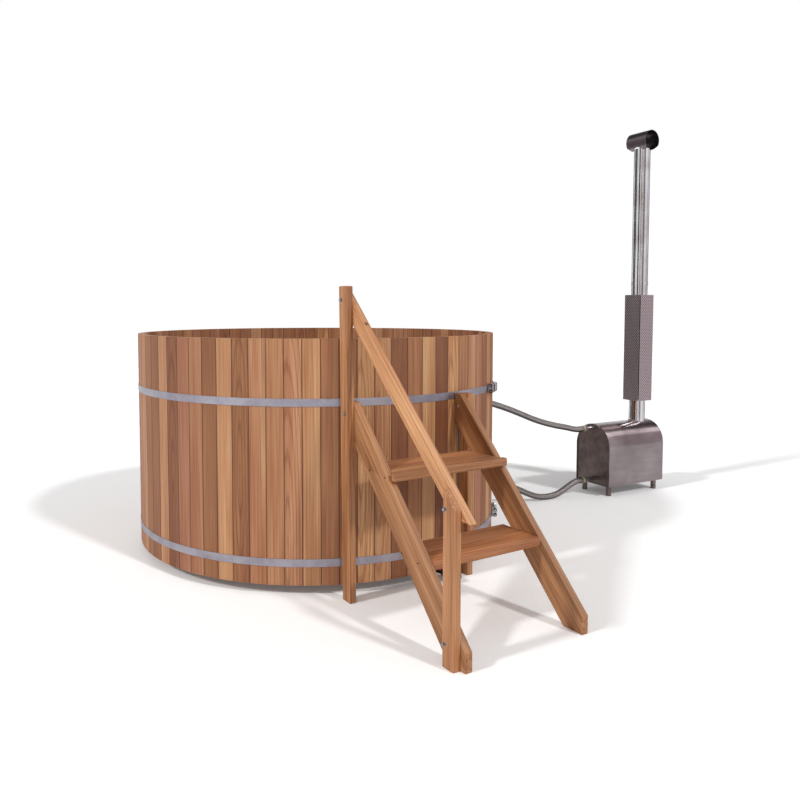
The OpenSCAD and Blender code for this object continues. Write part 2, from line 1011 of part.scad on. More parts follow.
module ladder_bolts() {
    cap_r = (pow(bolt_head_d / 2, 2) + pow(bolt_head_h, 2)) / (2 * bolt_head_h);
    color("silver")
        at_ladder()
            at_bolts() {
                cylinder(d = bolt_d, h = 2 * board_t + washer_t + bolt_end);
                intersection() {
                    translate([0, 0, cap_r - bolt_head_h])
                        sphere(r = cap_r);
                    translate([0, 0, -bolt_head_h])
                        cylinder(d = bolt_head_d + over, h = bolt_head_h);
                }
            }
}

module ladder_nuts() {
    color("gainsboro")
        at_ladder()
            at_bolts()
                translate([0, 0, 2 * board_t])
                    difference() {
                        union() {
                            cylinder(d = washer_d, h = washer_t);
                            cylinder(d = dome_nut_d, h = washer_t + dome_nut_h, $fn = 6);
                            translate([0, 0, washer_t + dome_nut_h])
                                sphere(d = dome_d);
                        }
                        translate([0, 0, -over])
                            cylinder(d = bolt_d + close_fit, h = over + washer_t + bolt_end + close_fit);
                    }
}

module tread_screws() {
    color("dimgray")
        at_ladder()
            for (side = [-1, 1])
                at_screws(side) {
                    cylinder(d = screw_d, h = screw_l);
                    cylinder(d = screw_head_d, h = screw_head_h);
                }
}

// Stove

module at_stove() {
    translate([stove_at[0], stove_at[1], 0])
        rotate([0, 0, stove_turn])
            children();
}

// Outline across the stove, set inside the outer skin by g
module arch(g) {
    r = stove_w / 2 - g;
    translate([stove_w / 2, arch_z])
        circle(r = r);
    translate([stove_w / 2 - r, stove_rise + g])
        square([2 * r, arch_z - stove_rise - g]);
}

module along_stove(s, length) {
    translate([s, 0, 0])
        rotate([90, 0, 90])
            linear_extrude(length)
                children();
}

module at_flue() {
    translate([flue_s, stove_w / 2, 0])
        children();
}

module stove_shell() {
    color("slategray")
        at_stove()
            difference() {
                along_stove(0, stove_l)
                    arch(0);
                along_stove(-over, stove_l + 2 * over)
                    arch(sheet_t);
                at_flue()
                    translate([0, 0, arch_z])
                        cylinder(d = collar_d + 2 * close_fit, h = stove_w);
            }
}

module port_end_plate() {
    color("slategray")
        at_stove()
            difference() {
                along_stove(end_set, sheet_t)
                    arch(sheet_t + weld_gap);
                for (z = stub_zs)
                    translate([0, stove_w / 2, z])
                        rotate([0, 90, 0])
                            cylinder(d = stub_d + close_fit, h = fire_s);
            }
}

module door_end_plate() {
    color("slategray")
        at_stove() {
            difference() {
                along_stove(plate_out_s - sheet_t, sheet_t)
                    arch(sheet_t + weld_gap);
                translate([fire_s, (stove_w - fire_hole_w) / 2, fire_hole_low])
                    cube([stove_l, fire_hole_w, fire_hole_high - fire_hole_low]);
                translate([fire_s, (stove_w - ash_hole_w) / 2, ash_hole_low])
                    cube([stove_l, ash_hole_w, ash_hole_high - ash_hole_low]);
            }
            latch_keeper();
        }
}

// A hook welded to the door end plate: the latch drops in from above
module latch_keeper() {
    low = latch_z - latch_w / 2 - latch_gap - keeper_t;
    reach = latch_s() + latch_t + latch_gap + keeper_t - plate_out_s;
    translate([plate_out_s, latch_e + latch_tongue - keeper_w, low]) {
        cube([reach, keeper_w, keeper_t]);
        translate([reach - keeper_t, 0, 0])
            cube([keeper_t, keeper_w, keeper_lip]);
    }
}

module firebox() {
    length = plate_out_s - sheet_t - fire_s;
    color("dimgray")
        at_stove() {
            difference() {
                along_stove(fire_s, length)
                    arch(fire_g);
                along_stove(fire_s + sheet_t, length)
                    arch(fire_g + sheet_t);
                at_flue()
                    translate([0, 0, arch_z])
                        cylinder(d = collar_d + 2 * close_fit, h = stove_w);
            }
            for (side = [0, 1])
                translate([
                    fire_s + sheet_t,
                    side == 0 ? fire_g + sheet_t : stove_w - fire_g - sheet_t - ledge_w,
                    grate_z - ledge_t])
                    cube([length - sheet_t, ledge_w, ledge_t]);
        }
}

module stove_feet() {
    color("black")
        at_stove()
            for (s = [foot_set, stove_l - foot_set])
                for (e = [foot_set, stove_w - foot_set])
                    translate([s, e, 0])
                        difference() {
                            cylinder(d = foot_d, h = stove_rise);
                            translate([0, 0, -over])
                                cylinder(d = foot_d - 2 * foot_t, h = stove_rise + 2 * over);
                        }
}

module at_stubs() {
    at_stove()
        for (z = stub_zs)
            translate([0, stove_w / 2, z])
                rotate([0, -90, 0])
                    children();
}

module stove_stubs() {
    inside = end_set + sheet_t;
    color("silver")
        at_stubs()
            translate([0, 0, -inside])
                difference() {
                    cylinder(d = stub_d, h = inside + conn_stub_l + stub_seat - close_fit);
                    translate([0, 0, -over])
                        cylinder(d = stub_bore, h = inside + conn_stub_l + stub_seat + 2 * over);
                }
}

module stove_hose_couplings() {
    color("goldenrod")
        at_stubs()
            translate([0, 0, conn_stub_l])
                difference() {
                    cylinder(d = conn_hex_d, h = conn_hex_l, $fn = 6);
                    translate([0, 0, -over])
                        cylinder(d = stub_d + close_fit, h = over + stub_seat);
                    cylinder(d = stub_bore, h = conn_hex_l + over);
                }
}

module tube(d, t, low, high) {
    translate([0, 0, low])
        difference() {
            cylinder(d = d, h = high - low);
            translate([0, 0, -over])
                cylinder(d = d - 2 * t, h = high - low + 2 * over);
        }
}

module flue_collar() {
    crown = arch_z + stove_w / 2;
    color("dimgray")
        at_stove()
            at_flue()
                tube(collar_d, collar_t, crown - collar_drop, crown + collar_rise);
}

module lower_chimney() {
    color("silver")
        at_stove()
            difference() {
                at_flue()
                    tube(pipe_d, pipe_t, arch_z + pipe_d, pipe_joint_z);
                along_stove(0, stove_l)
                    arch(-weld_gap);
            }
}

module chimney_ring() {
    color("gainsboro")
        at_stove()
            at_flue()
                tube(pipe_d + 2 * ring_t + 2 * close_fit, ring_t, pipe_joint_z - ring_h / 2, pipe_joint_z + ring_h / 2);
}

module upper_chimney() {
    color("silver")
        at_stove()
            at_flue()
                tube(pipe_d, pipe_t, pipe_joint_z, cowl_z - cowl_cut + pipe_in_cowl);
}

// Half of the heat guard: one sheet bent round a corner
module guard_half() {
    g = guard_w / 2;
    translate([0, 0, guard_low])
        linear_extrude(guard_high - guard_low) {
            translate([-g, -g + guard_seam])
                square([guard_t, guard_w - guard_seam]);
            translate([-g, g - guard_t])
                square([guard_w - guard_seam, guard_t]);
        }
}

module tub_side_guard() {
    color("rosybrown")
        at_stove()
            at_flue()
                guard_half();
}

module outer_guard() {
    color("thistle")
        at_stove()
            at_flue()
                rotate([0, 0, 180])
                    guard_half();
}

module guard_spacers() {
    inside = guard_w / 2 - guard_t - weld_gap;
    start = pipe_d / 2 - weld_gap;
    color("silver")
        at_stove()
            at_flue()
                difference() {
                    for (z = [guard_low + spacer_set, guard_high - spacer_set])
                        for (turn = [0:90:270])
                            rotate([0, 0, turn])
                                translate([start, 0, z])
                                    rotate([0, 90, 0])
                                        cylinder(d = spacer_d, h = inside - start);
                    translate([0, 0, guard_low])
                        cylinder(d = pipe_d + 2 * weld_gap, h = guard_high - guard_low);
                }
}

// A barrel cowl: a cross tube, open at both ends and along its underside,
// whose lower edges grip the top of the pipe
module cowl() {
    end = cowl_l / 2;
    color("silver")
        at_stove()
            at_flue()
                translate([0, 0, cowl_z])
                    difference() {
                        rotate([90, 0, 0])
                            difference() {
                                cylinder(d = cowl_d, h = cowl_l, center = true);
                                cylinder(d = cowl_d - 2 * cowl_t, h = cowl_l + 2 * over, center = true);
                            }
                        rotate([90, 0, 90])
                            linear_extrude(cowl_d, center = true)
                                polygon([
                                    [-end - over, -cowl_d], [-end - over, cowl_corner + over - cowl_cut],
                                    [cowl_corner - end, -cowl_cut], [end - cowl_corner, -cowl_cut],
                                    [end + over, cowl_corner + over - cowl_cut], [end + over, -cowl_d]]);
                        translate([0, 0, -cowl_d])
                            cylinder(d = pipe_d + 2 * weld_gap, h = cowl_d);
                    }
}

module grate() {
    width = stove_w - 2 * (fire_g + sheet_t) - 2 * loose_fit;
    length = plate_out_s - sheet_t - fire_s - sheet_t - 2 * loose_fit;
    pitch = (width - bar_w) / (bar_count - 1);
    color("dimgray")
        at_stove()
            translate([fire_s + sheet_t + loose_fit, (stove_w - width) / 2, grate_z]) {
                for (i = [0:bar_count - 1])
                    translate([0, i * pitch, 0])
                        cube([length, bar_w, bar_t]);
                for (s = [0, (length - bar_w) / 2, length - bar_w])
                    translate([s, 0, 0])
                        cube([bar_w, width, bar_t]);
            }
}

// Fixed lower knuckles of the door's hinges, on brackets
module hinge_knuckles() {
    color("dimgray")
        at_stove()
            for (z = hinge_zs)
                difference() {
                    union() {
                        translate([hinge_s, hinge_e, z])
                            cylinder(d = knuckle_d, h = knuckle_h);
                        translate([plate_out_s, hinge_e - knuckle_d / 2, z])
                            cube([hinge_s - plate_out_s, knuckle_d, knuckle_h]);
                    }
                    translate([hinge_s, hinge_e, z - over])
                        cylinder(d = hinge_pin_d + close_fit, h = knuckle_h + 2 * over);
                }
}

module hinge_pins() {
    color("silver")
        at_stove()
            for (z = hinge_zs)
                translate([hinge_s, hinge_e, z]) {
                    cylinder(d = hinge_pin_d, h = 2 * knuckle_h + 2 * knuckle_gap);
                    translate([0, 0, 2 * knuckle_h + 2 * knuckle_gap])
                        cylinder(d = knuckle_d, h = pin_head_h);
                }
}

function door_e() = (stove_w - fire_hole_w) / 2 - door_lap;
function latch_s() = door_s + door_t + latch_gap;

module stove_door() {
    color("darkslategray")
        at_stove() {
            difference() {
                union() {
                    translate([door_s, door_e(), door_low])
                        cube([door_t, fire_hole_w + 2 * door_lap, door_high - door_low]);
                    for (z = hinge_zs) {
                        translate([hinge_s, hinge_e, z + knuckle_h + knuckle_gap])
                            cylinder(d = knuckle_d, h = knuckle_h);
                        translate([door_s + door_t - door_gap, hinge_e, z + knuckle_h + knuckle_gap])
                            cube([strap_t + door_gap, strap_l, knuckle_h]);
                    }
                }
                for (z = hinge_zs)
                    translate([hinge_s, hinge_e, z])
                        cylinder(d = hinge_pin_d + 2 * hinge_run, h = 3 * knuckle_h);
            }
            translate([door_s + door_t, latch_e, latch_z])
                rotate([0, 90, 0]) {
                    cylinder(d = latch_pin_d, h = latch_gap * 2 + latch_t);
                    translate([0, 0, latch_gap * 2 + latch_t])
                        cylinder(d = stud_head_d, h = stud_head_h);
                }
        }
}

// The latch rests lifted, clear of its keeper, and turns down into it
module door_latch() {
    color("black")
        at_stove()
            translate([latch_s(), latch_e, latch_z])
                rotate([latch_lift, 0, 0])
                    difference() {
                        union() {
                            translate([0, -latch_grip, -latch_w / 2])
                                cube([latch_t, latch_grip + latch_tongue, latch_w]);
                            translate([latch_t, grip_d / 2 - latch_grip, 0])
                                rotate([0, 90, 0])
                                    cylinder(d = grip_d, h = grip_l);
                        }
                        translate([-over, 0, 0])
                            rotate([0, 90, 0])
                                cylinder(d = latch_pin_d + 2 * hinge_run, h = latch_t + 2 * over);
                    }
}

module ash_drawer() {
    low = stove_rise + fire_g + sheet_t + drawer_run;
    back = plate_out_s + door_gap - drawer_l;
    color("dimgray")
        at_stove() {
            difference() {
                translate([back, (stove_w - drawer_w) / 2, low])
                    cube([drawer_l, drawer_w, drawer_h]);
                translate([back + drawer_t, (stove_w - drawer_w) / 2 + drawer_t, low + drawer_t])
                    cube([drawer_l - 2 * drawer_t, drawer_w - 2 * drawer_t, drawer_h]);
            }
            translate([
                plate_out_s + door_gap, (stove_w - ash_front_w) / 2, ash_hole_low - ash_front_over])
                cube([ash_front_t, ash_front_w, ash_hole_h + 2 * ash_front_over]);
            translate([
                plate_out_s + door_gap + ash_front_t, stove_w / 2, (ash_hole_low + ash_hole_high) / 2])
                rotate([0, 90, 0]) {
                    cylinder(d = ash_neck_d, h = ash_knob_l);
                    translate([0, 0, ash_knob_l])
                        cylinder(d = ash_knob_d, h = ash_neck_d);
                }
        }
}

// Ribbed hoses: a tube swept along its route, with a ring at each crest
// and each valley of its ribs

function unit(v) = v / norm(v);
function sum_to(list, count, at = 0, total = 0) =
    at >= count ? total : sum_to(list, count, at + 1, total + list[at]);

// Length of each stretch of a route
function stretches(route) = [for (i = [0:len(route) - 2]) norm(route[i + 1] - route[i])];

// Heading at each point: the two end stretches stay straight
function headings(route, ls) =
    let (last = len(route) - 1)
    [for (i = [0:last])
        i <= 1 ? unit(route[1] - route[0])
        : i >= last - 1 ? unit(route[last] - route[last - 1])
        : unit((route[i] - route[i - 1]) / ls[i - 1] * ls[i] + (route[i + 1] - route[i]) / ls[i] * ls[i - 1])];

// Smooth curve between two points with given headings
function curve_point(a, b, ha, hb, l, u) =
    (2 * pow(u, 3) - 3 * pow(u, 2) + 1) * a + (pow(u, 3) - 2 * pow(u, 2) + u) * l * ha
    + (3 * pow(u, 2) - 2 * pow(u, 3)) * b + (pow(u, 3) - pow(u, 2)) * l * hb;
function curve_slope(a, b, ha, hb, l, u) =
    unit((6 * pow(u, 2) - 6 * u) * (a - b) / l + (3 * pow(u, 2) - 4 * u + 1) * ha
        + (3 * pow(u, 2) - 2 * u) * hb);

// Stretch that holds a distance along the route
function stretch_at(starts, d) =
    max([for (i = [0:len(starts) - 2]) if (i == 0 || starts[i] <= d) i]);

function ring_frame(route, ls, hs, starts, d) =
    let (
        i = stretch_at(starts, d),
        u = min(1, (d - starts[i]) / ls[i]),
        at = curve_point(route[i], route[i + 1], hs[i], hs[i + 1], ls[i], u),
        ahead = curve_slope(route[i], route[i + 1], hs[i], hs[i + 1], ls[i], u),
        side = unit(cross(ahead, [0, 0, 1])))
    [at, side, cross(side, ahead)];

// Rings as [distance, outer radius], from cuff to cuff
function hose_rings(length) =
    let (
        run = length - 2 * cuff_l,
        ribs = round(run / rib_pitch),
        crest = hose_d / 2)
    concat(
        [[0, crest], [cuff_l, crest]],
        [for (i = [0:ribs - 1]) each [
            [cuff_l + (i + 0.5) * run / ribs, crest - rib_depth],
            [cuff_l + (i + 1) * run / ribs, crest]]],
        [[length, crest]]);

module hose(route) {
    ls = stretches(route);
    hs = headings(route, ls);
    starts = [for (i = [0:len(ls)]) sum_to(ls, i)];
    rings = hose_rings(starts[len(ls)]);
    frames = [for (ring = rings) ring_frame(route, ls, hs, starts, ring[0])];
    count = len(rings);
    // Outer rings, then bore rings at every other place
    inner = [for (i = [0:count - 1]) if (i % 2 == 0 || i == count - 1) i];
    points = concat(
        [for (i = [0:count - 1]) for (k = [0:hose_sides - 1])
            frames[i][0] + rings[i][1] * (cos(k * 360 / hose_sides) * frames[i][1]
                + sin(k * 360 / hose_sides) * frames[i][2])],
        [for (i = inner) for (k = [0:hose_sides - 1])
            frames[i][0] + hose_bore / 2 * (cos(k * 360 / hose_sides) * frames[i][1]
                + sin(k * 360 / hose_sides) * frames[i][2])]);
    base = count * hose_sides;
    last_in = base + (len(inner) - 1) * hose_sides;
    last_out = (count - 1) * hose_sides;
    n = hose_sides;
    faces = concat(
        [for (i = [0:count - 2]) for (k = [0:n - 1]) each
            let (a = i * n + k, b = i * n + (k + 1) % n)
            [[a, b, b + n], [a, b + n, a + n]]],
        [for (i = [0:len(inner) - 2]) for (k = [0:n - 1]) each
            let (a = base + i * n + k, b = base + i * n + (k + 1) % n)
            [[a, b + n, b], [a, a + n, b + n]]],
        [for (k = [0:n - 1]) each
            let (a = k, b = (k + 1) % n)
            [[a, base + a, base + b], [a, base + b, b]]],
        [for (k = [0:n - 1]) each
            let (a = k, b = (k + 1) % n)
            [[last_out + a, last_in + b, last_in + a], [last_out + a, last_out + b, last_in + b]]]);
    polyhedron(points = points, faces = faces, convexity = 10);
}

module upper_hose() {
    color("lightslategray")
        hose(upper_route);
}

module lower_hose() {
    color("lightslategray")
        hose(lower_route);
}

front_staves();
right_staves();
back_staves();
left_staves();
floor_boards();
centre_joist();
side_joists();
upper_hoop();
lower_hoop();
hoop_lugs();
draw_rods();
rod_nuts();
bench_seats();
bench_supports();
port_bodies();
port_gaskets();
port_nuts();
port_strainers();
tub_hose_couplings();
drain_flange();
drain_elbow();
drain_pipe();
drain_valve();
drain_ball();
drain_lever();
drain_spout();
left_stringer();
right_stringer();
upper_tread();
lower_tread();
tall_post();
short_post();
rear_leg();
handrail();
ladder_bolts();
ladder_nuts();
tread_screws();
stove_shell();
port_end_plate();
door_end_plate();
firebox();
stove_feet();
stove_stubs();
stove_hose_couplings();
flue_collar();
lower_chimney();
chimney_ring();
upper_chimney();
tub_side_guard();
outer_guard();
guard_spacers();
cowl();
grate();
hinge_knuckles();
hinge_pins();
stove_door();
door_latch();
ash_drawer();
upper_hose();
lower_hose();
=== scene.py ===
"""Looks for a wood fired hot tub: a coopered cedar tub, a boarding ladder and
an outside stove joined to the tub by two braided hoses."""

import json
import math
import random

import bmesh
import bpy
from mathutils import Matrix, Vector


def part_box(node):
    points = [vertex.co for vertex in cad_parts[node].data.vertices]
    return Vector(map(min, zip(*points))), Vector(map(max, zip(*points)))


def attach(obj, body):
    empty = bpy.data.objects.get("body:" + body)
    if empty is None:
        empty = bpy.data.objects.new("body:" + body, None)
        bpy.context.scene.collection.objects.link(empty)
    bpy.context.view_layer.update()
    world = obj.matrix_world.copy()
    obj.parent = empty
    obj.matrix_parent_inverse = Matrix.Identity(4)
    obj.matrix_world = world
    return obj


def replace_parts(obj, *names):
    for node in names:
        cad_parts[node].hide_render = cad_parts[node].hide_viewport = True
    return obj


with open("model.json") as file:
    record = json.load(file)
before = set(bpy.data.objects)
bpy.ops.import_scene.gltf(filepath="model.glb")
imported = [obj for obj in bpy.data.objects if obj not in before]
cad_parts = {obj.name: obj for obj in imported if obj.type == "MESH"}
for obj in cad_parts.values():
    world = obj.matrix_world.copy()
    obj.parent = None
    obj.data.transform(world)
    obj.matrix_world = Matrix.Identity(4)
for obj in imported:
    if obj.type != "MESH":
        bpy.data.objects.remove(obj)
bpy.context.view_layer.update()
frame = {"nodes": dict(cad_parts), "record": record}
NODES = frame["nodes"]
ROOT = "tub_and_stove"
MM = 0.001

# Tub
STAVES = 76
SEAM_TURN = math.radians(0.504)
STAVE_WIDTH = 0.0882
BROWN_STAVE = 7

# Benches: the middle of the first one, and their boards
FIRST_BENCH = math.radians(25.1 - 90)
BENCH_PITCH = 0.104
BENCH_OFFSET = 0.261

# Ladder's frame: outwards from the tub, and sideways along the treads
LADDER_TURN = math.radians(27.9)
LADDER_OUT = Vector((math.sin(LADDER_TURN), -math.cos(LADDER_TURN), 0))
LADDER_SIDE = Vector((math.cos(LADDER_TURN), math.sin(LADDER_TURN), 0))
UP = Vector((0, 0, 1))
STRINGER_SLOPE = math.radians(46.4)
RAIL_SLOPE = math.radians(43.95)
TREAD_PITCH = 0.127
TREAD_OFFSET = 0.845

# Stove's frame: along the stove away from the tub, and across it
STOVE_TURN = math.atan2(7, 15)
STOVE_ALONG = Vector((math.cos(STOVE_TURN), math.sin(STOVE_TURN), 0))
STOVE_ACROSS = Vector((-math.sin(STOVE_TURN), math.cos(STOVE_TURN), 0))
STOVE_WIDTH = 0.330
STOVE_LENGTH = 0.574
STOVE_BOTTOM = 0.074
ARCH_HEIGHT = 0.361
SHEET = 0.003
END_SET = 0.008
HEX_LENGTH = 0.034
STUB_RADIUS = 0.0135
COUPLING_RADIUS = 0.0215
PIPE_RADIUS = 0.060
COWL_RADIUS = 0.075

# Holes of the heat guard, as far apart as they are drawn
HOLE_PITCH = 0.015

# Welds: how far apart their drops are, and how big each is
WELD_STEP = 8 * MM
END_DROP = 4.5 * MM
RING_DROP = 4 * MM
STUB_DROPS = 12

# Hoses
HOSE_DIAMETER = 0.044
HOSE_CUFF = 0.044
RIB_PITCH = 0.020
RIB_DEPTH = 0.0012
ROUTE_STEP = 0.005

# Braid: radians of its wave round the hose, and along each metre of it
BRAID_TURN = 16.0
BRAID_RUN = 350
UPPER_ROUTE = [
    (1.064, 0.399, 0.750), (1.112, 0.417, 0.750), (1.160, 0.435, 0.742), (1.215, 0.456, 0.725),
    (1.270, 0.477, 0.706), (1.350, 0.507, 0.676), (1.445, 0.543, 0.636), (1.540, 0.579, 0.596),
    (1.635, 0.615, 0.563), (1.730, 0.651, 0.537), (1.830, 0.689, 0.514), (1.878, 0.707, 0.501),
    (1.920, 0.723, 0.496), (1.965, 0.744, 0.496)]
LOWER_ROUTE = [
    (1.064, 0.399, 0.232), (1.112, 0.417, 0.232), (1.160, 0.435, 0.224), (1.215, 0.456, 0.204),
    (1.290, 0.484, 0.168), (1.365, 0.513, 0.128), (1.440, 0.541, 0.090), (1.510, 0.568, 0.056),
    (1.575, 0.592, 0.032), (1.635, 0.615, 0.023), (1.690, 0.636, 0.023), (1.740, 0.655, 0.031),
    (1.790, 0.674, 0.050), (1.835, 0.691, 0.075), (1.880, 0.708, 0.098), (1.920, 0.723, 0.110),
    (1.965, 0.744, 0.110)]

# Flags: the flue they stand round, how far off, and the one that stands near
FLUE_X = 2.48
FLUE_Y = 0.98
FLAG_REACH = 3.2
NEAR_FLAG_REACH = 1.35
NEAR_FLAG = 218


# Camera

def place_camera():
    """The photograph's viewpoint: eye height, 4.5 m from the middle of the tub."""
    bpy.ops.object.camera_add(
        location=(0, -4.538, 1.382), rotation=(math.pi / 2 - 0.0579, 0, -0.068))
    camera = bpy.context.object
    camera.data.lens = 32.90
    camera.data.sensor_width = 36
    camera.data.shift_x = 0.0398
    camera.data.shift_y = -0.060
    camera.data.clip_end = 200
    bpy.context.scene.camera = camera


place_camera()


# Tools

def only(piece):
    """Makes one piece the selection."""
    bpy.ops.object.select_all(action="DESELECT")
    piece.select_set(True)
    bpy.context.view_layer.objects.active = piece


def colour(code):
    """Linear colour of an sRGB hex value."""
    shares = [int(code[i:i + 2], 16) / 255 for i in (1, 3, 5)]
    return [s / 12.92 if s <= 0.04045 else ((s + 0.055) / 1.055) ** 2.4 for s in shares] + [1]


def add(tree, kind, settings=None, inputs=None):
    """Adds a node with its settings, and its inputs as values or as links."""
    node = tree.nodes.new("ShaderNode" + kind)
    for name, value in (settings or {}).items():
        if name != "stops":
            setattr(node, name, value)
            continue
        ramp = node.color_ramp
        while len(ramp.elements) < len(value):
            ramp.elements.new(0.5)
        for element, (place, code) in zip(ramp.elements, value):
            element.position = place
            element.color = colour(code)
    for place, value in (inputs or {}).items():
        if isinstance(value, bpy.types.NodeSocket):
            tree.links.new(value, node.inputs[place])
        else:
            node.inputs[place].default_value = value
    return node


def new_finish(name, shine):
    """A material and its shader, with the sockets that are the same all over."""
    finish = bpy.data.materials.new(name)
    finish.use_nodes = True
    shader = finish.node_tree.nodes["Principled BSDF"]
    for socket, value in shine.items():
        shader.inputs[socket].default_value = value
    return finish, finish.node_tree, shader


def wear(piece, finish):
    """Gives a piece its finish."""
    piece.data.materials.clear()
    piece.data.materials.append(finish)


def grain_turn(grain, side):
    """Turn that lays a board's grain along X and its width along Y."""
    grain, side = grain.normalized(), side.normalized()
    return Matrix((grain, side, grain.cross(side))).to_euler("XYZ")


# Wood

def stave_cedar():
    """Western red cedar, planed and dry. Each stave is sawn from its own log,
    so its tone and figure change at every seam, from pale straw to brown."""
    finish, tree, shader = new_finish("planed_red_cedar_staves", {"Roughness": 0.62, "IOR": 1.5})
    place = add(tree, "TexCoord").outputs["Object"]
    axes = add(tree, "SeparateXYZ", None, {0: place}).outputs
    angle = add(tree, "Math", {"operation": "ARCTAN2"}, {0: axes[1], 1: axes[0]}).outputs[0]
    first_seam = (math.pi / 2 - SEAM_TURN) * STAVES / math.tau
    seams = add(tree, "Math", {"operation": "MULTIPLY_ADD"}, {
        0: angle, 1: STAVES / math.tau, 2: first_seam})
    wrapped = add(tree, "Math", {"operation": "FLOORED_MODULO"}, {
        0: seams.outputs[0], 1: STAVES}).outputs[0]
    number = add(tree, "Math", {"operation": "FLOOR"}, {0: wrapped}).outputs[0]
    across = add(tree, "Math", {"operation": "FRACT"}, {0: wrapped}).outputs[0]
    log = add(tree, "TexWhiteNoise", {"noise_dimensions": "1D"}, {"W": number})
    chances = add(tree, "SeparateColor", None, {0: log.outputs["Color"]}).outputs
    tone = add(tree, "ValToRGB", {"stops": [
        (0.0, "#8A5A38"), (0.16, "#9C6D46"), (0.34, "#AE7E61"), (0.52, "#A87750"),
        (0.70, "#B98C68"), (0.88, "#C69C6F"), (1.0, "#AC7860")]}, {
            0: log.outputs["Value"]}).outputs[0]
    for chosen, code in (
            (BROWN_STAVE, "#84532F"), (BROWN_STAVE - 1, "#CBA376"), (BROWN_STAVE + 1, "#D2A878")):
        picked = add(tree, "Math", {"operation": "COMPARE"}, {
            0: number, 1: chosen, 2: 0.5}).outputs[0]
        tone = add(tree, "Mix", {"data_type": "RGBA"}, {
            0: picked, 6: tone, 7: colour(code)}).outputs[2]

    # Straight figure: streaks 5 mm apart that run half a metre
    middle = add(tree, "Math", {"operation": "MULTIPLY_ADD"}, {
        0: across, 1: STAVE_WIDTH, 2: -STAVE_WIDTH / 2})
    board = add(tree, "CombineXYZ", None, {0: middle.outputs[0], 1: number, 2: axes[2]}).outputs[0]
    stretched = add(tree, "Mapping", None, {0: board, "Scale": (190, 7.3, 1.9)}).outputs[0]
    streaks = add(tree, "TexNoise", None, {
        "Vector": stretched, "Scale": 1, "Detail": 3, "Roughness": 0.55}).outputs[0]
    streak_shade = add(tree, "ValToRGB", {"stops": [
        (0.32, "#CDAE9A"), (0.50, "#EFE2D8"), (0.66, "#FFFFFF")]}, {0: streaks}).outputs[0]
    grained = add(tree, "Mix", {"data_type": "RGBA", "blend_type": "MULTIPLY"}, {
        0: 0.85, 6: tone, 7: streak_shade}).outputs[2]

    # Cathedral figure: thin dark arches 14 mm apart, on the flat sawn staves alone
    rise = add(tree, "Math", {"operation": "MULTIPLY_ADD"}, {
        0: chances[1], 1: -1.2, 2: axes[2]}).outputs[0]
    flattened = add(tree, "Math", {"operation": "DIVIDE"}, {0: rise, 1: 15}).outputs[0]
    aside_heart = add(tree, "Math", {"operation": "MULTIPLY_ADD"}, {
        0: chances[0], 1: 0.03, 2: middle.outputs[0]}).outputs[0]
    arches_place = add(tree, "CombineXYZ", None, {0: aside_heart, 1: 0, 2: flattened}).outputs[0]
    arches = add(tree, "TexWave", {"wave_type": "RINGS", "rings_direction": "Y"}, {
        "Vector": arches_place, "Scale": 22, "Distortion": 1.2,
        "Detail": 2, "Detail Scale": 10}).outputs[1]
    arch_shade = add(tree, "ValToRGB", {"stops": [
        (0.0, "#B88C70"), (0.16, "#E3CDBD"), (0.42, "#FFFFFF")]}, {0: arches}).outputs[0]
    flat_sawn = add(tree, "Math", {"operation": "GREATER_THAN"}, {
        0: chances[2], 1: 0.74}).outputs[0]
    flat_share = add(tree, "Math", {"operation": "MULTIPLY"}, {0: flat_sawn, 1: 0.5}).outputs[0]
    figured = add(tree, "Mix", {"data_type": "RGBA", "blend_type": "MULTIPLY"}, {
        0: flat_share, 6: grained, 7: arch_shade}).outputs[2]

    # Slow change of tone up a stave
    cloud_place = add(tree, "Mapping", None, {0: board, "Scale": (16, 3.1, 1.1)}).outputs[0]
    cloud = add(tree, "TexNoise", None, {"Vector": cloud_place, "Scale": 1, "Detail": 2}).outputs[0]
    cloud_shade = add(tree, "ValToRGB", {"stops": [
        (0.30, "#D9BDA8"), (0.62, "#FFFFFF")]}, {0: cloud}).outputs[0]
    clouded = add(tree, "Mix", {"data_type": "RGBA", "blend_type": "MULTIPLY"}, {
        0: 0.8, 6: figured, 7: cloud_shade})

    # Dirt and shade in the last 5 mm before a seam
    aside = add(tree, "Math", {"operation": "ABSOLUTE"}, {
        0: add(tree, "Math", {"operation": "SUBTRACT"}, {0: across, 1: 0.5}).outputs[0]}).outputs[0]
    edge = add(tree, "MapRange", {"interpolation_type": "SMOOTHSTEP"}, {
        0: aside, 1: 0.5 - 5 * MM / STAVE_WIDTH, 2: 0.5, 3: 0, 4: 0.85}).outputs[0]
    final = add(tree, "Mix", {"data_type": "RGBA"}, {
        0: edge, 6: clouded.outputs[2], 7: colour("#4E2C1A")})
    tree.links.new(final.outputs[2], shader.inputs["Base Color"])
    bump = add(tree, "Bump", None, {
        "Strength": 0.2, "Distance": 0.4 * MM, "Height": streaks}).outputs[0]
    tree.links.new(bump, shader.inputs["Normal"])
    return finish


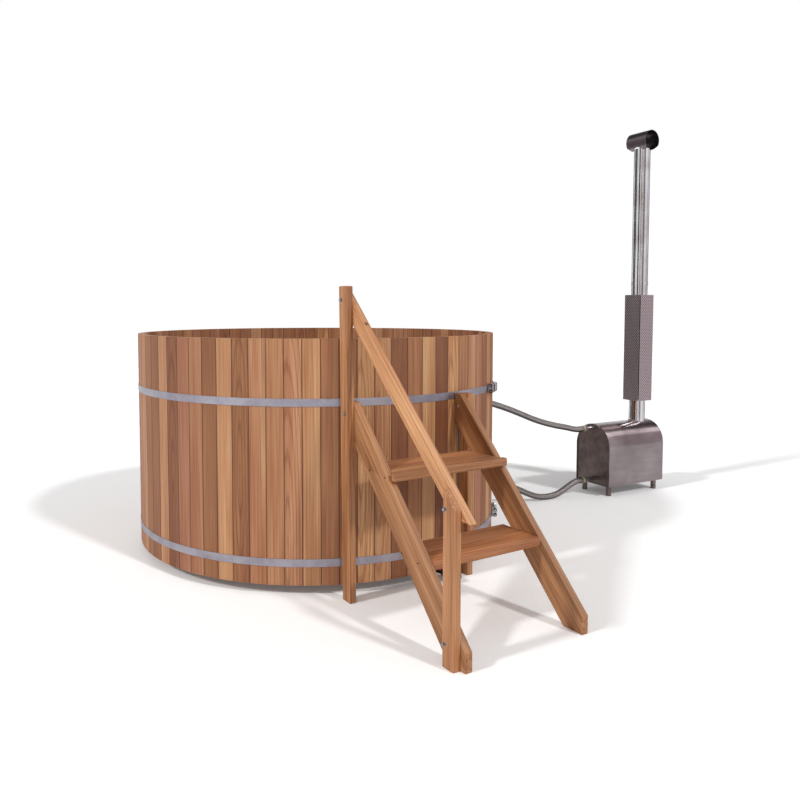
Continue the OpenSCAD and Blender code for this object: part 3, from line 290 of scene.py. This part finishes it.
def board_cedar(name, grain, side, tones, board=None, dark_spot=None, seed=0.0, benches=False):
    """Oiled cedar boards of one direction. tones are the dark and pale wood,
    board the width of each where a node holds several, and dark_spot one dark
    round spot.
    With benches, the grain turns with each of the six benches."""
    finish, tree, shader = new_finish(name, {"Roughness": 0.55, "IOR": 1.5})
    place = add(tree, "TexCoord").outputs["Object"]
    if benches:
        axes = add(tree, "SeparateXYZ", None, {0: place}).outputs
        angle = add(tree, "Math", {"operation": "ARCTAN2"}, {0: axes[1], 1: axes[0]}).outputs[0]
        sixths = add(tree, "Math", {"operation": "MULTIPLY_ADD"}, {
            0: angle, 1: 3 / math.pi, 2: -FIRST_BENCH * 3 / math.pi}).outputs[0]
        bench = add(tree, "Math", {"operation": "ROUND"}, {0: sixths}).outputs[0]
        back = add(tree, "Math", {"operation": "MULTIPLY_ADD"}, {
            0: bench, 1: -math.pi / 3, 2: -FIRST_BENCH}).outputs[0]
        place = add(tree, "VectorRotate", {"rotation_type": "Z_AXIS"}, {
            "Vector": place, "Angle": back}).outputs[0]
    turned = add(tree, "Mapping", None, {
        0: place, "Rotation": grain_turn(grain, side), "Location": (seed, 0, 0)}).outputs[0]
    # Streaks 8 mm apart and half a metre long, over bands 50 mm wide
    fine_place = add(tree, "Mapping", None, {0: turned, "Scale": (2.2, 120, 120)}).outputs[0]
    fine = add(tree, "TexNoise", None, {
        "Vector": fine_place, "Scale": 1, "Detail": 4, "Roughness": 0.6}).outputs[0]
    band_place = add(tree, "Mapping", None, {0: turned, "Scale": (1.1, 20, 20)}).outputs[0]
    bands = add(tree, "TexNoise", None, {"Vector": band_place, "Scale": 1, "Detail": 2}).outputs[0]
    tone = add(tree, "ValToRGB", {"stops": [
        (0.30, tones[0]), (0.66, tones[1])]}, {0: bands}).outputs[0]
    shade = add(tree, "ValToRGB", {"stops": [
        (0.32, "#C7A58E"), (0.50, "#EFE2D8"), (0.64, "#FFFFFF")]}, {
        0: fine}).outputs[0]
    last = add(tree, "Mix", {"data_type": "RGBA", "blend_type": "MULTIPLY"}, {
        0: 1, 6: tone, 7: shade}).outputs[2]
    if board:
        widths = add(tree, "SeparateXYZ", None, {0: turned}).outputs[1]
        counted = add(tree, "Math", {"operation": "DIVIDE"}, {0: widths, 1: board[0]}).outputs[0]
        shifted = add(tree, "Math", {"operation": "ADD"}, {0: counted, 1: board[1]}).outputs[0]
        number = add(tree, "Math", {"operation": "FLOOR"}, {0: shifted}).outputs[0]
        own = add(tree, "TexWhiteNoise", {"noise_dimensions": "1D"}, {"W": number}).outputs["Value"]
        own_tone = add(tree, "ValToRGB", {"stops": [
            (0.0, "#C9A791"), (0.5, "#FFF4E6"), (1.0, "#FFD9C4")]}, {
            0: own}).outputs[0]
        last = add(tree, "Mix", {"data_type": "RGBA", "blend_type": "MULTIPLY"}, {
            0: 0.8, 6: last, 7: own_tone}).outputs[2]
    if dark_spot:
        distance = add(tree, "VectorMath", {"operation": "DISTANCE"}, {
            0: place, 1: dark_spot[0]}).outputs["Value"]
        eye = add(tree, "MapRange", {"interpolation_type": "SMOOTHSTEP"}, {
            0: distance, 1: dark_spot[1] * 0.5, 2: dark_spot[1], 3: 0.85, 4: 0}).outputs[0]
        last = add(tree, "Mix", {"data_type": "RGBA"}, {
            0: eye, 6: last, 7: colour("#3E2417")}).outputs[2]
    tree.links.new(last, shader.inputs["Base Color"])
    bump = add(tree, "Bump", None, {
        "Strength": 0.25, "Distance": 0.6 * MM, "Height": fine}).outputs[0]
    tree.links.new(bump, shader.inputs["Normal"])
    return finish


# Metal, plastic and rubber

def plain_metal(name, code, roughness, blotch=None, metallic=1.0):
    """A metal with one colour, mottled where blotch gives a second one."""
    finish, tree, shader = new_finish(name, {"Metallic": metallic, "Roughness": roughness})
    if not blotch:
        shader.inputs["Base Color"].default_value = colour(code)
        return finish
    place = add(tree, "TexCoord").outputs["Object"]
    noise = add(tree, "TexNoise", None, {
        "Vector": place, "Scale": blotch[1], "Detail": 5, "Roughness": 0.7})
    mixed = add(tree, "ValToRGB", {"stops": [
        (0.36, blotch[0]), (0.62, code)]}, {0: noise.outputs[0]})
    tree.links.new(mixed.outputs[0], shader.inputs["Base Color"])
    rough = add(tree, "MapRange", None, {
        0: noise.outputs[0], 3: roughness * 0.8, 4: roughness * 1.25})
    tree.links.new(rough.outputs[0], shader.inputs["Roughness"])
    return finish


def stove_sheet():
    """Hot rolled stainless sheet, ground by hand: dull streaks along the
    grinding, and soft grey patches."""
    finish, tree, shader = new_finish("ground_stainless_sheet", {"Metallic": 1.0})
    place = add(tree, "TexCoord").outputs["Object"]
    turned = add(tree, "Mapping", None, {
        0: place, "Rotation": grain_turn(STOVE_ALONG, STOVE_ACROSS)}).outputs[0]
    brushed_place = add(tree, "Mapping", None, {0: turned, "Scale": (5, 40, 40)}).outputs[0]
    brushed = add(tree, "TexNoise", None, {
        "Vector": brushed_place, "Scale": 1, "Detail": 3}).outputs[0]
    patches = add(tree, "TexNoise", None, {
        "Vector": turned, "Scale": 5, "Detail": 3, "Roughness": 0.5}).outputs[0]
    tint = add(tree, "ValToRGB", {"stops": [
        (0.30, "#84797A"), (0.52, "#8F8485"), (0.72, "#9A9092")]}, {
        0: patches}).outputs[0]
    streak = add(tree, "ValToRGB", {"stops": [
        (0.35, "#F4F3F3"), (0.62, "#FFFFFF")]}, {0: brushed}).outputs[0]
    last = add(tree, "Mix", {"data_type": "RGBA", "blend_type": "MULTIPLY"}, {
        0: 1, 6: tint, 7: streak})
    tree.links.new(last.outputs[2], shader.inputs["Base Color"])
    rough = add(tree, "MapRange", None, {0: patches, 1: 0.3, 2: 0.7, 3: 0.15, 4: 0.26}).outputs[0]
    tree.links.new(rough, shader.inputs["Roughness"])
    wavy = add(tree, "TexNoise", None, {"Vector": place, "Scale": 4, "Detail": 0}).outputs[0]
    bump = add(tree, "Bump", None, {"Strength": 0.6, "Distance": 8 * MM, "Height": wavy}).outputs[0]
    tree.links.new(bump, shader.inputs["Normal"])
    return finish


def flue_steel():
    """Bright annealed stainless tube, which mirrors its surroundings in long
    upright streaks and is a little dimpled by rolling."""
    finish, tree, shader = new_finish("bright_stainless_tube", {"Metallic": 1.0, "Roughness": 0.14})
    place = add(tree, "TexCoord").outputs["Object"]
    smoke = add(tree, "TexNoise", None, {"Vector": place, "Scale": 5, "Detail": 4}).outputs[0]
    tint = add(tree, "ValToRGB", {"stops": [
        (0.35, "#B5B1B2"), (0.60, "#D5D4D6")]}, {0: smoke}).outputs[0]
    tree.links.new(tint, shader.inputs["Base Color"])
    long_place = add(tree, "Mapping", None, {0: place, "Scale": (13, 13, 0.5)}).outputs[0]
    rolled = add(tree, "TexNoise", None, {"Vector": long_place, "Scale": 1, "Detail": 1}).outputs[0]
    bump = add(tree, "Bump", None, {
        "Strength": 0.25, "Distance": 2 * MM, "Height": rolled}).outputs[0]
    tree.links.new(bump, shader.inputs["Normal"])
    return finish


def cowl_steel():
    """Satin stainless tube, with a painted reflection that darkens it along its
    top, and painted darker all over inside."""
    finish, tree, shader = new_finish(
        "stainless_with_painted_top_reflection", {"Metallic": 1.0, "Roughness": 0.34})
    low, high = (Vector(c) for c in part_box("cowl"))
    middle = Vector(((low.x + high.x) / 2, (low.y + high.y) / 2, high.z - COWL_RADIUS))
    place = add(tree, "TexCoord").outputs["Object"]
    from_middle = add(tree, "VectorMath", {"operation": "SUBTRACT"}, {
        0: place, 1: middle}).outputs[0]
    height = add(tree, "SeparateXYZ", None, {0: from_middle}).outputs[2]
    clouds = add(tree, "TexNoise", None, {"Vector": place, "Scale": 14, "Detail": 3}).outputs[0]
    uneven = add(tree, "Math", {"operation": "MULTIPLY_ADD"}, {
        0: clouds, 1: 0.02, 2: height}).outputs[0]
    share = add(tree, "MapRange", None, {0: uneven, 1: -COWL_RADIUS, 2: COWL_RADIUS}).outputs[0]
    # Painted reflection: the outside is painted darker towards its top
    outside_painted_reflection = add(tree, "ValToRGB", {"stops": [
        (0.0, "#9B8F92"), (0.56, "#7B7073"), (0.80, "#3A3536"), (1.0, "#1E1C1D")]}, {
            0: share}).outputs[0]
    crossed = add(tree, "VectorMath", {"operation": "CROSS_PRODUCT"}, {
        0: from_middle, 1: STOVE_ACROSS}).outputs[0]
    reach = add(tree, "VectorMath", {"operation": "LENGTH"}, {0: crossed}).outputs["Value"]
    inside = add(tree, "Math", {"operation": "LESS_THAN"}, {
        0: reach, 1: COWL_RADIUS - 1 * MM}).outputs[0]
    # The inside is painted one darker colour all over
    tint = add(tree, "Mix", {"data_type": "RGBA"}, {0: inside, 6: outside_painted_reflection, 7: colour("#4A4446")})
    tree.links.new(tint.outputs[2], shader.inputs["Base Color"])
    return finish


def perforated_sheet():
    """Perforated stainless sheet. The holes are painted shade: dark, non-metal spots
    for the shade seen through them. They are drawn 15 mm apart, coarser than the
    real ones, so that they show."""
    finish, tree, shader = new_finish("perforated_stainless", {"Roughness": 0.38})
    place = add(tree, "TexCoord").outputs["Object"]
    turned = add(tree, "Mapping", None, {
        0: place, "Rotation": grain_turn(STOVE_ALONG, STOVE_ACROSS)}).outputs[0]
    axes = add(tree, "SeparateXYZ", None, {0: turned}).outputs
    around = add(tree, "Math", {"operation": "ADD"}, {0: axes[0], 1: axes[1]}).outputs[0]
    flat = add(tree, "CombineXYZ", None, {0: around, 1: axes[2]}).outputs[0]
    grid = add(tree, "Mapping", None, {0: flat, "Rotation": (0, 0, math.pi / 4)}).outputs[0]
    cells = add(tree, "TexVoronoi", {"voronoi_dimensions": "2D"}, {
        "Vector": grid, "Scale": 1 / HOLE_PITCH, "Randomness": 0}).outputs["Distance"]
    hole = add(tree, "MapRange", {"interpolation_type": "SMOOTHSTEP"}, {
        0: cells, 1: 0.24, 2: 0.34, 3: 1, 4: 0})
    # Painted shade: each hole is a dark spot standing for the shade seen through it
    tint = add(tree, "Mix", {"data_type": "RGBA"}, {
        0: hole.outputs[0], 6: colour("#B2A5A8"), 7: colour("#2B2522")})
    tree.links.new(tint.outputs[2], shader.inputs["Base Color"])
    metal = add(tree, "Math", {"operation": "SUBTRACT"}, {0: 1, 1: hole.outputs[0]}).outputs[0]
    tree.links.new(metal, shader.inputs["Metallic"])
    return finish


def braided_steel():
    """Stainless wire braid over a corrugated hose: strands that cross at the
    same slant both ways. The weave is painted, with painted shade in the gaps
    between the strands, and is drawn 9 mm wide so that it shows."""
    finish, tree, shader = new_finish("stainless_wire_braid", {"Metallic": 1.0, "Roughness": 0.3})
    around = add(tree, "UVMap").outputs[0]
    axes = add(tree, "SeparateXYZ", None, {0: around}).outputs
    weaves = []
    for slant in (1, -1):
        run = add(tree, "Math", {"operation": "MULTIPLY_ADD"}, {
            0: axes[0], 1: slant * BRAID_TURN, 2: axes[1]}).outputs[0]
        weaves.append(add(tree, "Math", {"operation": "SINE"}, {0: run}).outputs[0])
    weave = add(tree, "Math", {"operation": "MULTIPLY"}, {0: weaves[0], 1: weaves[1]}).outputs[0]
    # Painted shade: dark in the gaps where the strands cross, pale on the strands
    tint = add(tree, "ValToRGB", {"stops": [
        (0.05, "#2E2A29"), (0.55, "#716B69"), (0.9, "#B5B0AE")]}, {
        0: add(tree, "MapRange", None, {0: weave, 1: -1, 2: 1}).outputs[0]}).outputs[0]
    tree.links.new(tint, shader.inputs["Base Color"])
    bump = add(tree, "Bump", None, {
        "Strength": 0.6, "Distance": 0.8 * MM, "Height": weave}).outputs[0]
    tree.links.new(bump, shader.inputs["Normal"])
    return finish


def plain_coat(name, code, roughness):
    """A plastic, rubber or paint of one colour."""
    finish, _, shader = new_finish(name, {"Roughness": roughness})
    shader.inputs["Base Color"].default_value = colour(code)
    return finish


STRINGER_GRAIN = LADDER_OUT * math.cos(STRINGER_SLOPE) - UP * math.sin(STRINGER_SLOPE)
RAIL_GRAIN = LADDER_OUT * math.cos(RAIL_SLOPE) - UP * math.sin(RAIL_SLOPE)
# A dark round spot on the handrail near the tall post
DARK_SPOT = (Vector((0.2155, -1.205, 1.312)), 0.016)

staves = stave_cedar()
floor_wood = board_cedar("planed_cedar_floor", Vector((0, 1, 0)), Vector((1, 0, 0)),
                         ("#9A6F50", "#BC9070"), board=(0.140, 0.5))
joist_wood = board_cedar("rough_cedar_joists", Vector((1, 0, 0)), Vector((0, 1, 0)),
                         ("#8F674C", "#B98F72"))
bench_wood = board_cedar("planed_cedar_bench", Vector((0, 1, 0)), Vector((1, 0, 0)),
                         ("#A0745A", "#C49A78"),
                         board=(BENCH_PITCH, BENCH_OFFSET), benches=True)
stringer_wood = board_cedar("oiled_cedar_stringers", STRINGER_GRAIN, LADDER_SIDE,
                            ("#95673F", "#B5865C"), seed=3.1)
rail_wood = board_cedar("oiled_cedar_rail", RAIL_GRAIN, LADDER_SIDE,
                        ("#C08B60", "#E0B081"), seed=1.7, dark_spot=DARK_SPOT)
post_wood = board_cedar("oiled_cedar_posts", UP, LADDER_SIDE, ("#98683F", "#C08D62"), seed=5.3)
tread_wood = board_cedar("oiled_cedar_treads", LADDER_SIDE, LADDER_OUT, ("#94673F", "#C39670"),
                         board=(TREAD_PITCH, TREAD_OFFSET), seed=2.2)
hoop_band = plain_metal("galvanised_band", "#A5A1AB", 0.42, ("#8F8B95", 7), metallic=0.9)
cast_steel = plain_metal("cast_stainless", "#C9C9CC", 0.22)
zinc = plain_metal("zinc_plated_steel", "#9C9EA6", 0.18)
dark_steel = plain_metal("blackened_steel", "#3A3736", 0.42)
satin_steel = plain_metal("satin_stainless", "#B7B4B2", 0.30, ("#A09B98", 24))
foot_steel = plain_metal("scaled_steel_feet", "#8A7F7A", 0.40, ("#5C5350", 30))
sheet_steel = stove_sheet()
plate_steel = plain_metal("heat_tinted_plate", "#7D716E", 0.36, ("#645856", 14))
weld_steel = plain_metal("weld_bead", "#8B807C", 0.30, ("#5F5552", 60))
bright_tube = flue_steel()
guard_sheet = perforated_sheet()
cowl_tube_painted_reflection = cowl_steel()
braid = braided_steel()
seal_tape = plain_coat("thread_sealing_tape", "#C6BE7E", 0.6)
cast_iron = plain_metal("black_cast_iron", "#2B2A2A", 0.6, metallic=0.6)
black_plastic = plain_coat("black_abs", "#17171A", 0.4)
red_plastic = plain_coat("red_abs", "#A02A20", 0.4)
white_plastic = plain_coat("white_abs", "#E4E4E0", 0.4)
rubber = plain_coat("black_rubber", "#141414", 0.7)

FINISHES = [
    (staves, "front_staves right_staves back_staves left_staves"),
    (floor_wood, "floor_boards"),
    (joist_wood, "centre_joist side_joists"),
    (bench_wood, "bench_seats bench_supports"),
    (hoop_band, "upper_hoop lower_hoop"),
    (cast_steel, "hoop_lugs draw_rods"),
    (dark_steel, "rod_nuts tread_screws hinge_knuckles"),
    (satin_steel, "port_bodies port_nuts drain_flange drain_ball "
                  "stove_stubs guard_spacers hinge_pins"),
    (satin_steel, "tub_hose_couplings stove_hose_couplings"),
    (white_plastic, "port_strainers"),
    (rubber, "port_gaskets"),
    (black_plastic, "drain_elbow drain_pipe drain_valve drain_spout"),
    (red_plastic, "drain_lever"),
    (stringer_wood, "left_stringer right_stringer"),
    (rail_wood, "handrail"),
    (post_wood, "tall_post short_post rear_leg"),
    (tread_wood, "upper_tread lower_tread"),
    (zinc, "ladder_bolts ladder_nuts"),
    (sheet_steel, "stove_shell flue_collar"),
    (plate_steel, "port_end_plate door_end_plate firebox stove_door ash_drawer"),
    (foot_steel, "stove_feet"),
    (bright_tube, "lower_chimney upper_chimney chimney_ring"),
    (cowl_tube_painted_reflection, "cowl"),
    (guard_sheet, "tub_side_guard outer_guard"),
    (cast_iron, "grate door_latch"),
    (braid, "upper_hose lower_hose"),
]
for finish, names in FINISHES:
    for name in names.split():
        wear(NODES[name], finish)


# Hoses

def smooth_route(route):
    """Points and headings every 5 mm along the curve that the solids follow."""
    points = [Vector(p) for p in route]
    last = len(points) - 1
    lengths = [(points[i + 1] - points[i]).length for i in range(last)]
    headings = []
    for i in range(last + 1):
        if i <= 1:
            heading = points[1] - points[0]
        elif i >= last - 1:
            heading = points[last] - points[last - 1]
        else:
            heading = ((points[i] - points[i - 1]) / lengths[i - 1] * lengths[i]
                       + (points[i + 1] - points[i]) / lengths[i] * lengths[i - 1])
        headings.append(heading.normalized())
    line = []
    for i in range(last):
        a, b, ha, hb, run = points[i], points[i + 1], headings[i], headings[i + 1], lengths[i]
        steps = max(2, round(run / ROUTE_STEP))
        for k in range(steps + (i == last - 1)):
            u = k / steps
            point = ((2 * u**3 - 3 * u**2 + 1) * a + (u**3 - 2 * u**2 + u) * run * ha
                     + (3 * u**2 - 2 * u**3) * b + (u**3 - u**2) * run * hb)
            heading = ((6 * u**2 - 6 * u) * (a - b) / run + (3 * u**2 - 4 * u + 1) * ha
                       + (3 * u**2 - 2 * u) * hb).normalized()
            line.append((point, heading))
    return line


def hose(name, route, sides=20):
    """A braided hose with its ribs, crimped smooth at each end."""
    line = smooth_route(route)
    walked = [0.0]
    for (a, _), (b, _) in zip(line, line[1:]):
        walked.append(walked[-1] + (b - a).length)
    length = walked[-1]
    ribs = round((length - 2 * HOSE_CUFF) / RIB_PITCH)
    pitch = (length - 2 * HOSE_CUFF) / ribs
    mesh = bpy.data.meshes.new(name)
    shape = bmesh.new()
    layer = shape.loops.layers.uv.new("UVMap")
    rings = []
    for (point, heading), distance in zip(line, walked):
        radius = HOSE_DIAMETER / 2
        if HOSE_CUFF < distance < length - HOSE_CUFF:
            radius -= RIB_DEPTH * (0.5 - 0.5 * math.cos(math.tau * (distance - HOSE_CUFF) / pitch))
        side = heading.cross(UP).normalized()
        up = side.cross(heading)
        rings.append([
            shape.verts.new(point + radius * (math.cos(turn) * side + math.sin(turn) * up))
            for turn in (math.tau * k / sides for k in range(sides))])
    for i in range(len(rings) - 1):
        for k in range(sides):
            n = (k + 1) % sides
            face = shape.faces.new((rings[i][k], rings[i][n], rings[i + 1][n], rings[i + 1][k]))
            corners = ((k, i), (k + 1, i), (k + 1, i + 1), (k, i + 1))
            for loop, (turn, ring) in zip(face.loops, corners):
                loop[layer].uv = (turn / sides, walked[ring] * BRAID_RUN)
            face.smooth = True
    for ring in (rings[0], rings[-1]):
        shape.faces.new(ring)
    bmesh.ops.recalc_face_normals(shape, faces=shape.faces)
    shape.to_mesh(mesh)
    shape.free()
    piece = bpy.data.objects.new(name, mesh)
    bpy.context.scene.collection.objects.link(piece)
    wear(piece, braid)
    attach(piece, ROOT)
    return piece


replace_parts(hose("upper_braided_hose", UPPER_ROUTE), "upper_hose")
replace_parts(hose("lower_braided_hose", LOWER_ROUTE), "lower_hose")


# Boards with eased edges

def eased_copy(node, finish, ease, steps=2, shortest=0.03):
    """A node's solid with its long edges rounded by a plane or a grinder."""
    piece = NODES[node].copy()
    piece.data = NODES[node].data.copy()
    piece.name = node + "_eased"
    bpy.context.scene.collection.objects.link(piece)
    only(piece)
    bpy.ops.object.mode_set(mode="EDIT")
    bpy.ops.mesh.select_all(action="SELECT")
    bpy.ops.mesh.remove_doubles(threshold=0.00001)
    bpy.ops.mesh.dissolve_limited(angle_limit=math.radians(1))
    bpy.ops.mesh.select_all(action="DESELECT")
    bpy.ops.mesh.select_mode(type="EDGE")
    shape = bmesh.from_edit_mesh(piece.data)
    for edge in shape.edges:
        sharp = len(edge.link_faces) == 2 and edge.calc_face_angle() > math.radians(30)
        edge.select = sharp and edge.calc_length() > shortest
    shape.select_flush(True)
    bmesh.update_edit_mesh(piece.data)
    bpy.ops.mesh.bevel(offset=ease, segments=steps, affect="EDGES", clamp_overlap=True)
    bpy.ops.object.mode_set(mode="OBJECT")
    bpy.ops.object.shade_smooth_by_angle(angle=math.radians(40))
    wear(piece, finish)
    body = next(
        b for b, members in frame["record"]["behaviour"]["bodies"].items() if node in members)
    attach(piece, body)
    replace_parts(piece, node)
    return piece


for node in ("left_stringer", "right_stringer"):
    eased_copy(node, stringer_wood, 3 * MM)
for node in ("tall_post", "short_post", "rear_leg"):
    eased_copy(node, post_wood, 3 * MM)
eased_copy("handrail", rail_wood, 4 * MM)
for node in ("upper_tread", "lower_tread"):
    eased_copy(node, tread_wood, 5 * MM, steps=3)
eased_copy("bench_seats", bench_wood, 4 * MM, shortest=0.05)
eased_copy("hoop_lugs", cast_steel, 3 * MM, steps=3, shortest=0.012)


# Welds and seals

def stove_point(along, across, height):
    """A point given in the stove's own frame."""
    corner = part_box("port_end_plate")
    centre = (Vector(corner[0]) + Vector(corner[1])) / 2
    start = centre - STOVE_ALONG * (END_SET + SHEET / 2) - STOVE_ACROSS * STOVE_WIDTH / 2
    point = start + STOVE_ALONG * along + STOVE_ACROSS * across
    return Vector((point.x, point.y, height))


def arch_outline(inset, step):
    """Points along the stove's arch and sides, inset from its skin."""
    radius = STOVE_WIDTH / 2 - inset
    middle = STOVE_WIDTH / 2
    outline = []
    height = STOVE_BOTTOM + inset
    while height < ARCH_HEIGHT:
        outline.append((inset, height))
        height += step
    turns = round(math.pi * radius / step)
    for k in range(turns + 1):
        turn = math.pi - math.pi * k / turns
        outline.append((middle + radius * math.cos(turn), ARCH_HEIGHT + radius * math.sin(turn)))
    while height > STOVE_BOTTOM + inset:
        height -= step
        outline.append((STOVE_WIDTH - inset, height))
    across = inset
    while across < STOVE_WIDTH - inset:
        outline.append((across, STOVE_BOTTOM + inset))
        across += step
    return outline


def weld_row(name, places, size):
    """A run of overlapping weld drops, one low ball copied along its places."""
    chance = random.Random(name)
    bpy.ops.object.select_all(action="DESELECT")
    drops = []
    for place in places:
        bpy.ops.mesh.primitive_ico_sphere_add(
            subdivisions=1, radius=size * chance.uniform(0.8, 1.25))
        drop = bpy.context.object
        shift = Vector([chance.uniform(-0.2, 0.2) * size for _ in range(3)])
        drop.data.transform(
            Matrix.Translation(place + shift) @ Matrix.Rotation(chance.uniform(0, 3), 4, "Z"))
        drops.append(drop)
    bpy.ops.object.select_all(action="DESELECT")
    for drop in drops:
        drop.select_set(True)
    bpy.context.view_layer.objects.active = drops[0]
    bpy.ops.object.join()
    piece = bpy.context.object
    piece.name = name
    bpy.ops.object.shade_smooth()
    wear(piece, weld_steel)
    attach(piece, ROOT)
    return piece


outline = arch_outline(SHEET + 2 * MM, WELD_STEP)
weld_row("port_end_weld", [stove_point(END_SET - 1 * MM, e, z) for e, z in outline], END_DROP)
weld_row("door_end_weld",
         [stove_point(STOVE_LENGTH - END_SET + 1 * MM, e, z) for e, z in outline], END_DROP)

flue_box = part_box("flue_collar")
flue = Vector(((flue_box[0][0] + flue_box[1][0]) / 2, (flue_box[0][1] + flue_box[1][1]) / 2, 0))


def flue_weld():
    """Weld drops where the chimney pipe meets the stove's arched top."""
    places = []
    count = 50
    for k in range(count):
        turn = math.tau * k / count
        along, across = (
            math.cos(turn) * (PIPE_RADIUS + 2 * MM), math.sin(turn) * (PIPE_RADIUS + 2 * MM))
        height = ARCH_HEIGHT + math.sqrt((STOVE_WIDTH / 2) ** 2 - across ** 2)
        places.append(flue + STOVE_ALONG * along + STOVE_ACROSS * across + UP * height)
    return weld_row("flue_weld", places, RING_DROP)


def stub_welds():
    """A ring of weld drops round each water stub on the end plate."""
    places = []
    for box_end in (UPPER_ROUTE[-1], LOWER_ROUTE[-1]):
        for k in range(STUB_DROPS):
            turn = math.tau * k / STUB_DROPS
            places.append(stove_point(
                END_SET - 1 * MM, STOVE_WIDTH / 2 + math.cos(turn) * (STUB_RADIUS + 2 * MM),
                box_end[2] + math.sin(turn) * (STUB_RADIUS + 2 * MM)))
    return weld_row("stub_welds", places, RING_DROP)


flue_weld()
stub_welds()


def thread_seals():
    """Turns of sealing tape that stand out of the couplings' threads."""
    rings = []
    for end in (UPPER_ROUTE[-1], LOWER_ROUTE[-1]):
        for along in (HEX_LENGTH, 0):
            spot = Vector(end) + STOVE_ALONG * along
            radius = STUB_RADIUS if along else COUPLING_RADIUS
            bpy.ops.mesh.primitive_torus_add(
                major_radius=radius + 1.2 * MM, minor_radius=2.6 * MM,
                major_segments=32, minor_segments=8)
            ring = bpy.context.object
            turn = STOVE_ALONG.to_track_quat("Z", "Y").to_matrix().to_4x4()
            ring.data.transform(Matrix.Translation(spot) @ turn)
            rings.append(ring)
    bpy.ops.object.select_all(action="DESELECT")
    for ring in rings:
        ring.select_set(True)
    bpy.context.view_layer.objects.active = rings[0]
    bpy.ops.object.join()
    piece = bpy.context.object
    piece.name = "thread_seals"
    bpy.ops.object.shade_smooth()
    wear(piece, seal_tape)
    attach(piece, ROOT)


thread_seals()


# Studio

def studio_floor():
    """A pale floor that keeps the shadows and meets a white background."""
    bpy.ops.mesh.primitive_plane_add(size=80, location=(0, 0, 0))
    floor = bpy.context.object
    floor.name = "studio_floor"
    finish, tree, shader = new_finish("white_floor_paint", {"Roughness": 0.9})
    shader.inputs["Base Color"].default_value = colour("#F7F7F7")
    shader.inputs["Specular IOR Level"].default_value = 0
    seen = add(tree, "LightPath").outputs["Is Camera Ray"]
    shader.inputs["Emission Color"].default_value = colour("#FFFFFF")
    lift = add(tree, "Math", {"operation": "MULTIPLY"}, {0: seen, 1: 0.08}).outputs[0]
    tree.links.new(lift, shader.inputs["Emission Strength"])
    wear(floor, finish)


def flag(name, bearing, width, code, distance, height=4.0):
    """A cloth flag beside the set: only the bright metal mirrors it."""
    turn = math.radians(bearing)
    middle = (Vector((FLUE_X, FLUE_Y, height / 2))
              + distance * Vector((math.cos(turn), math.sin(turn), 0)))
    upright = Matrix.Rotation(turn + math.pi / 2, 4, "Z") @ Matrix.Rotation(math.pi / 2, 4, "X")
    hang_flag(
        name, Matrix.Translation(middle) @ upright @ Matrix.Diagonal((width, height, 1, 1)), code)


def hang_flag(name, placed, code):
    """A unit cloth at its place, unseen but for its mirror image."""
    bpy.ops.mesh.primitive_plane_add(size=1)
    cloth = bpy.context.object
    cloth.name = name
    cloth.data.transform(placed)
    finish, _, shader = new_finish(
        "lit_cloth_" + name, {"Roughness": 0.9, "Emission Strength": 1.0})
    shader.inputs["Base Color"].default_value = colour("#000000")
    shader.inputs["Specular IOR Level"].default_value = 0
    shader.inputs["Emission Color"].default_value = colour(code)
    wear(cloth, finish)
    cloth.visible_camera = False
    cloth.visible_diffuse = False
    cloth.visible_shadow = False
    cloth.visible_transmission = False


def strip_lamp():
    """A long narrow lamp high over the stove: a bright line along its arch."""
    bpy.ops.object.light_add(type="AREA", location=(10.84, 0.93, 7))
    lamp = bpy.context.object
    lamp.name = "strip_lamp"
    lamp.data.shape = "RECTANGLE"
    lamp.data.size = 10
    lamp.data.size_y = 0.35
    lamp.data.energy = 420
    lamp.rotation_euler = (0, 0, STOVE_TURN)
    lamp.visible_diffuse = False


def studio_lamp(name, bearing, height, strength, spread):
    """A far soft lamp, seen from the tub at this bearing and height."""
    turn, lift = math.radians(bearing), math.radians(height)
    toward = Vector((
        math.cos(turn) * math.cos(lift), math.sin(turn) * math.cos(lift), math.sin(lift)))
    bpy.ops.object.light_add(type="SUN", location=toward * 10)
    lamp = bpy.context.object
    lamp.name = name
    lamp.rotation_euler = toward.to_track_quat("Z", "Y").to_euler()
    lamp.data.energy = strength
    lamp.data.angle = math.radians(spread)


def studio_world():
    """White where it is seen or mirrored, and softer as light on the tub."""
    world = bpy.data.worlds.new("studio_world")
    bpy.context.scene.world = world
    world.use_nodes = True
    tree = world.node_tree
    back = tree.nodes["Background"]
    back.inputs["Color"].default_value = colour("#FFFFFF")
    path = add(tree, "LightPath").outputs
    seen = add(tree, "Math", {"operation": "MAXIMUM"}, {
        0: path["Is Camera Ray"], 1: path["Is Glossy Ray"]})
    any_seen = add(tree, "Math", {"operation": "MAXIMUM"}, {
        0: seen.outputs[0], 1: path["Is Transmission Ray"]})
    level = add(tree, "MapRange", None, {0: any_seen.outputs[0], 3: 0.50, 4: 1.0}).outputs[0]
    tree.links.new(level, back.inputs["Strength"])


studio_floor()
for bearing, width, code in [
        (100, 1.2, "#6E625C"), (147, 1.2, "#26282E"), (170, 1.0, "#33251F"),
        (NEAR_FLAG, 0.40, "#2E2430"), (246, 0.75, "#B5A08C"), (264, 0.26, "#060606"),
        (286, 1.3, "#8E8288"), (350, 1.75, "#DACED4"), (30, 1.4, "#6F656A")]:
    flag(f"flag_{bearing}", bearing, width, code,
         NEAR_FLAG_REACH if bearing == NEAR_FLAG else FLAG_REACH)
overhead = STOVE_ALONG * 6 + STOVE_ACROSS * 2.4 + Vector((2.35, 0.93, 7.4))
hang_flag("ceiling_flag", Matrix.Translation(overhead) @ Matrix.Rotation(STOVE_TURN, 4, "Z")
          @ Matrix.Diagonal((16, 8.4, 1, 1)), "#A39895")
strip_lamp()
studio_lamp("left_key", 207, 36, 1.55, 5)
studio_lamp("right_key", 314, 40, 1.45, 5)
studio_world()
bpy.context.scene.view_settings.view_transform = "Standard"
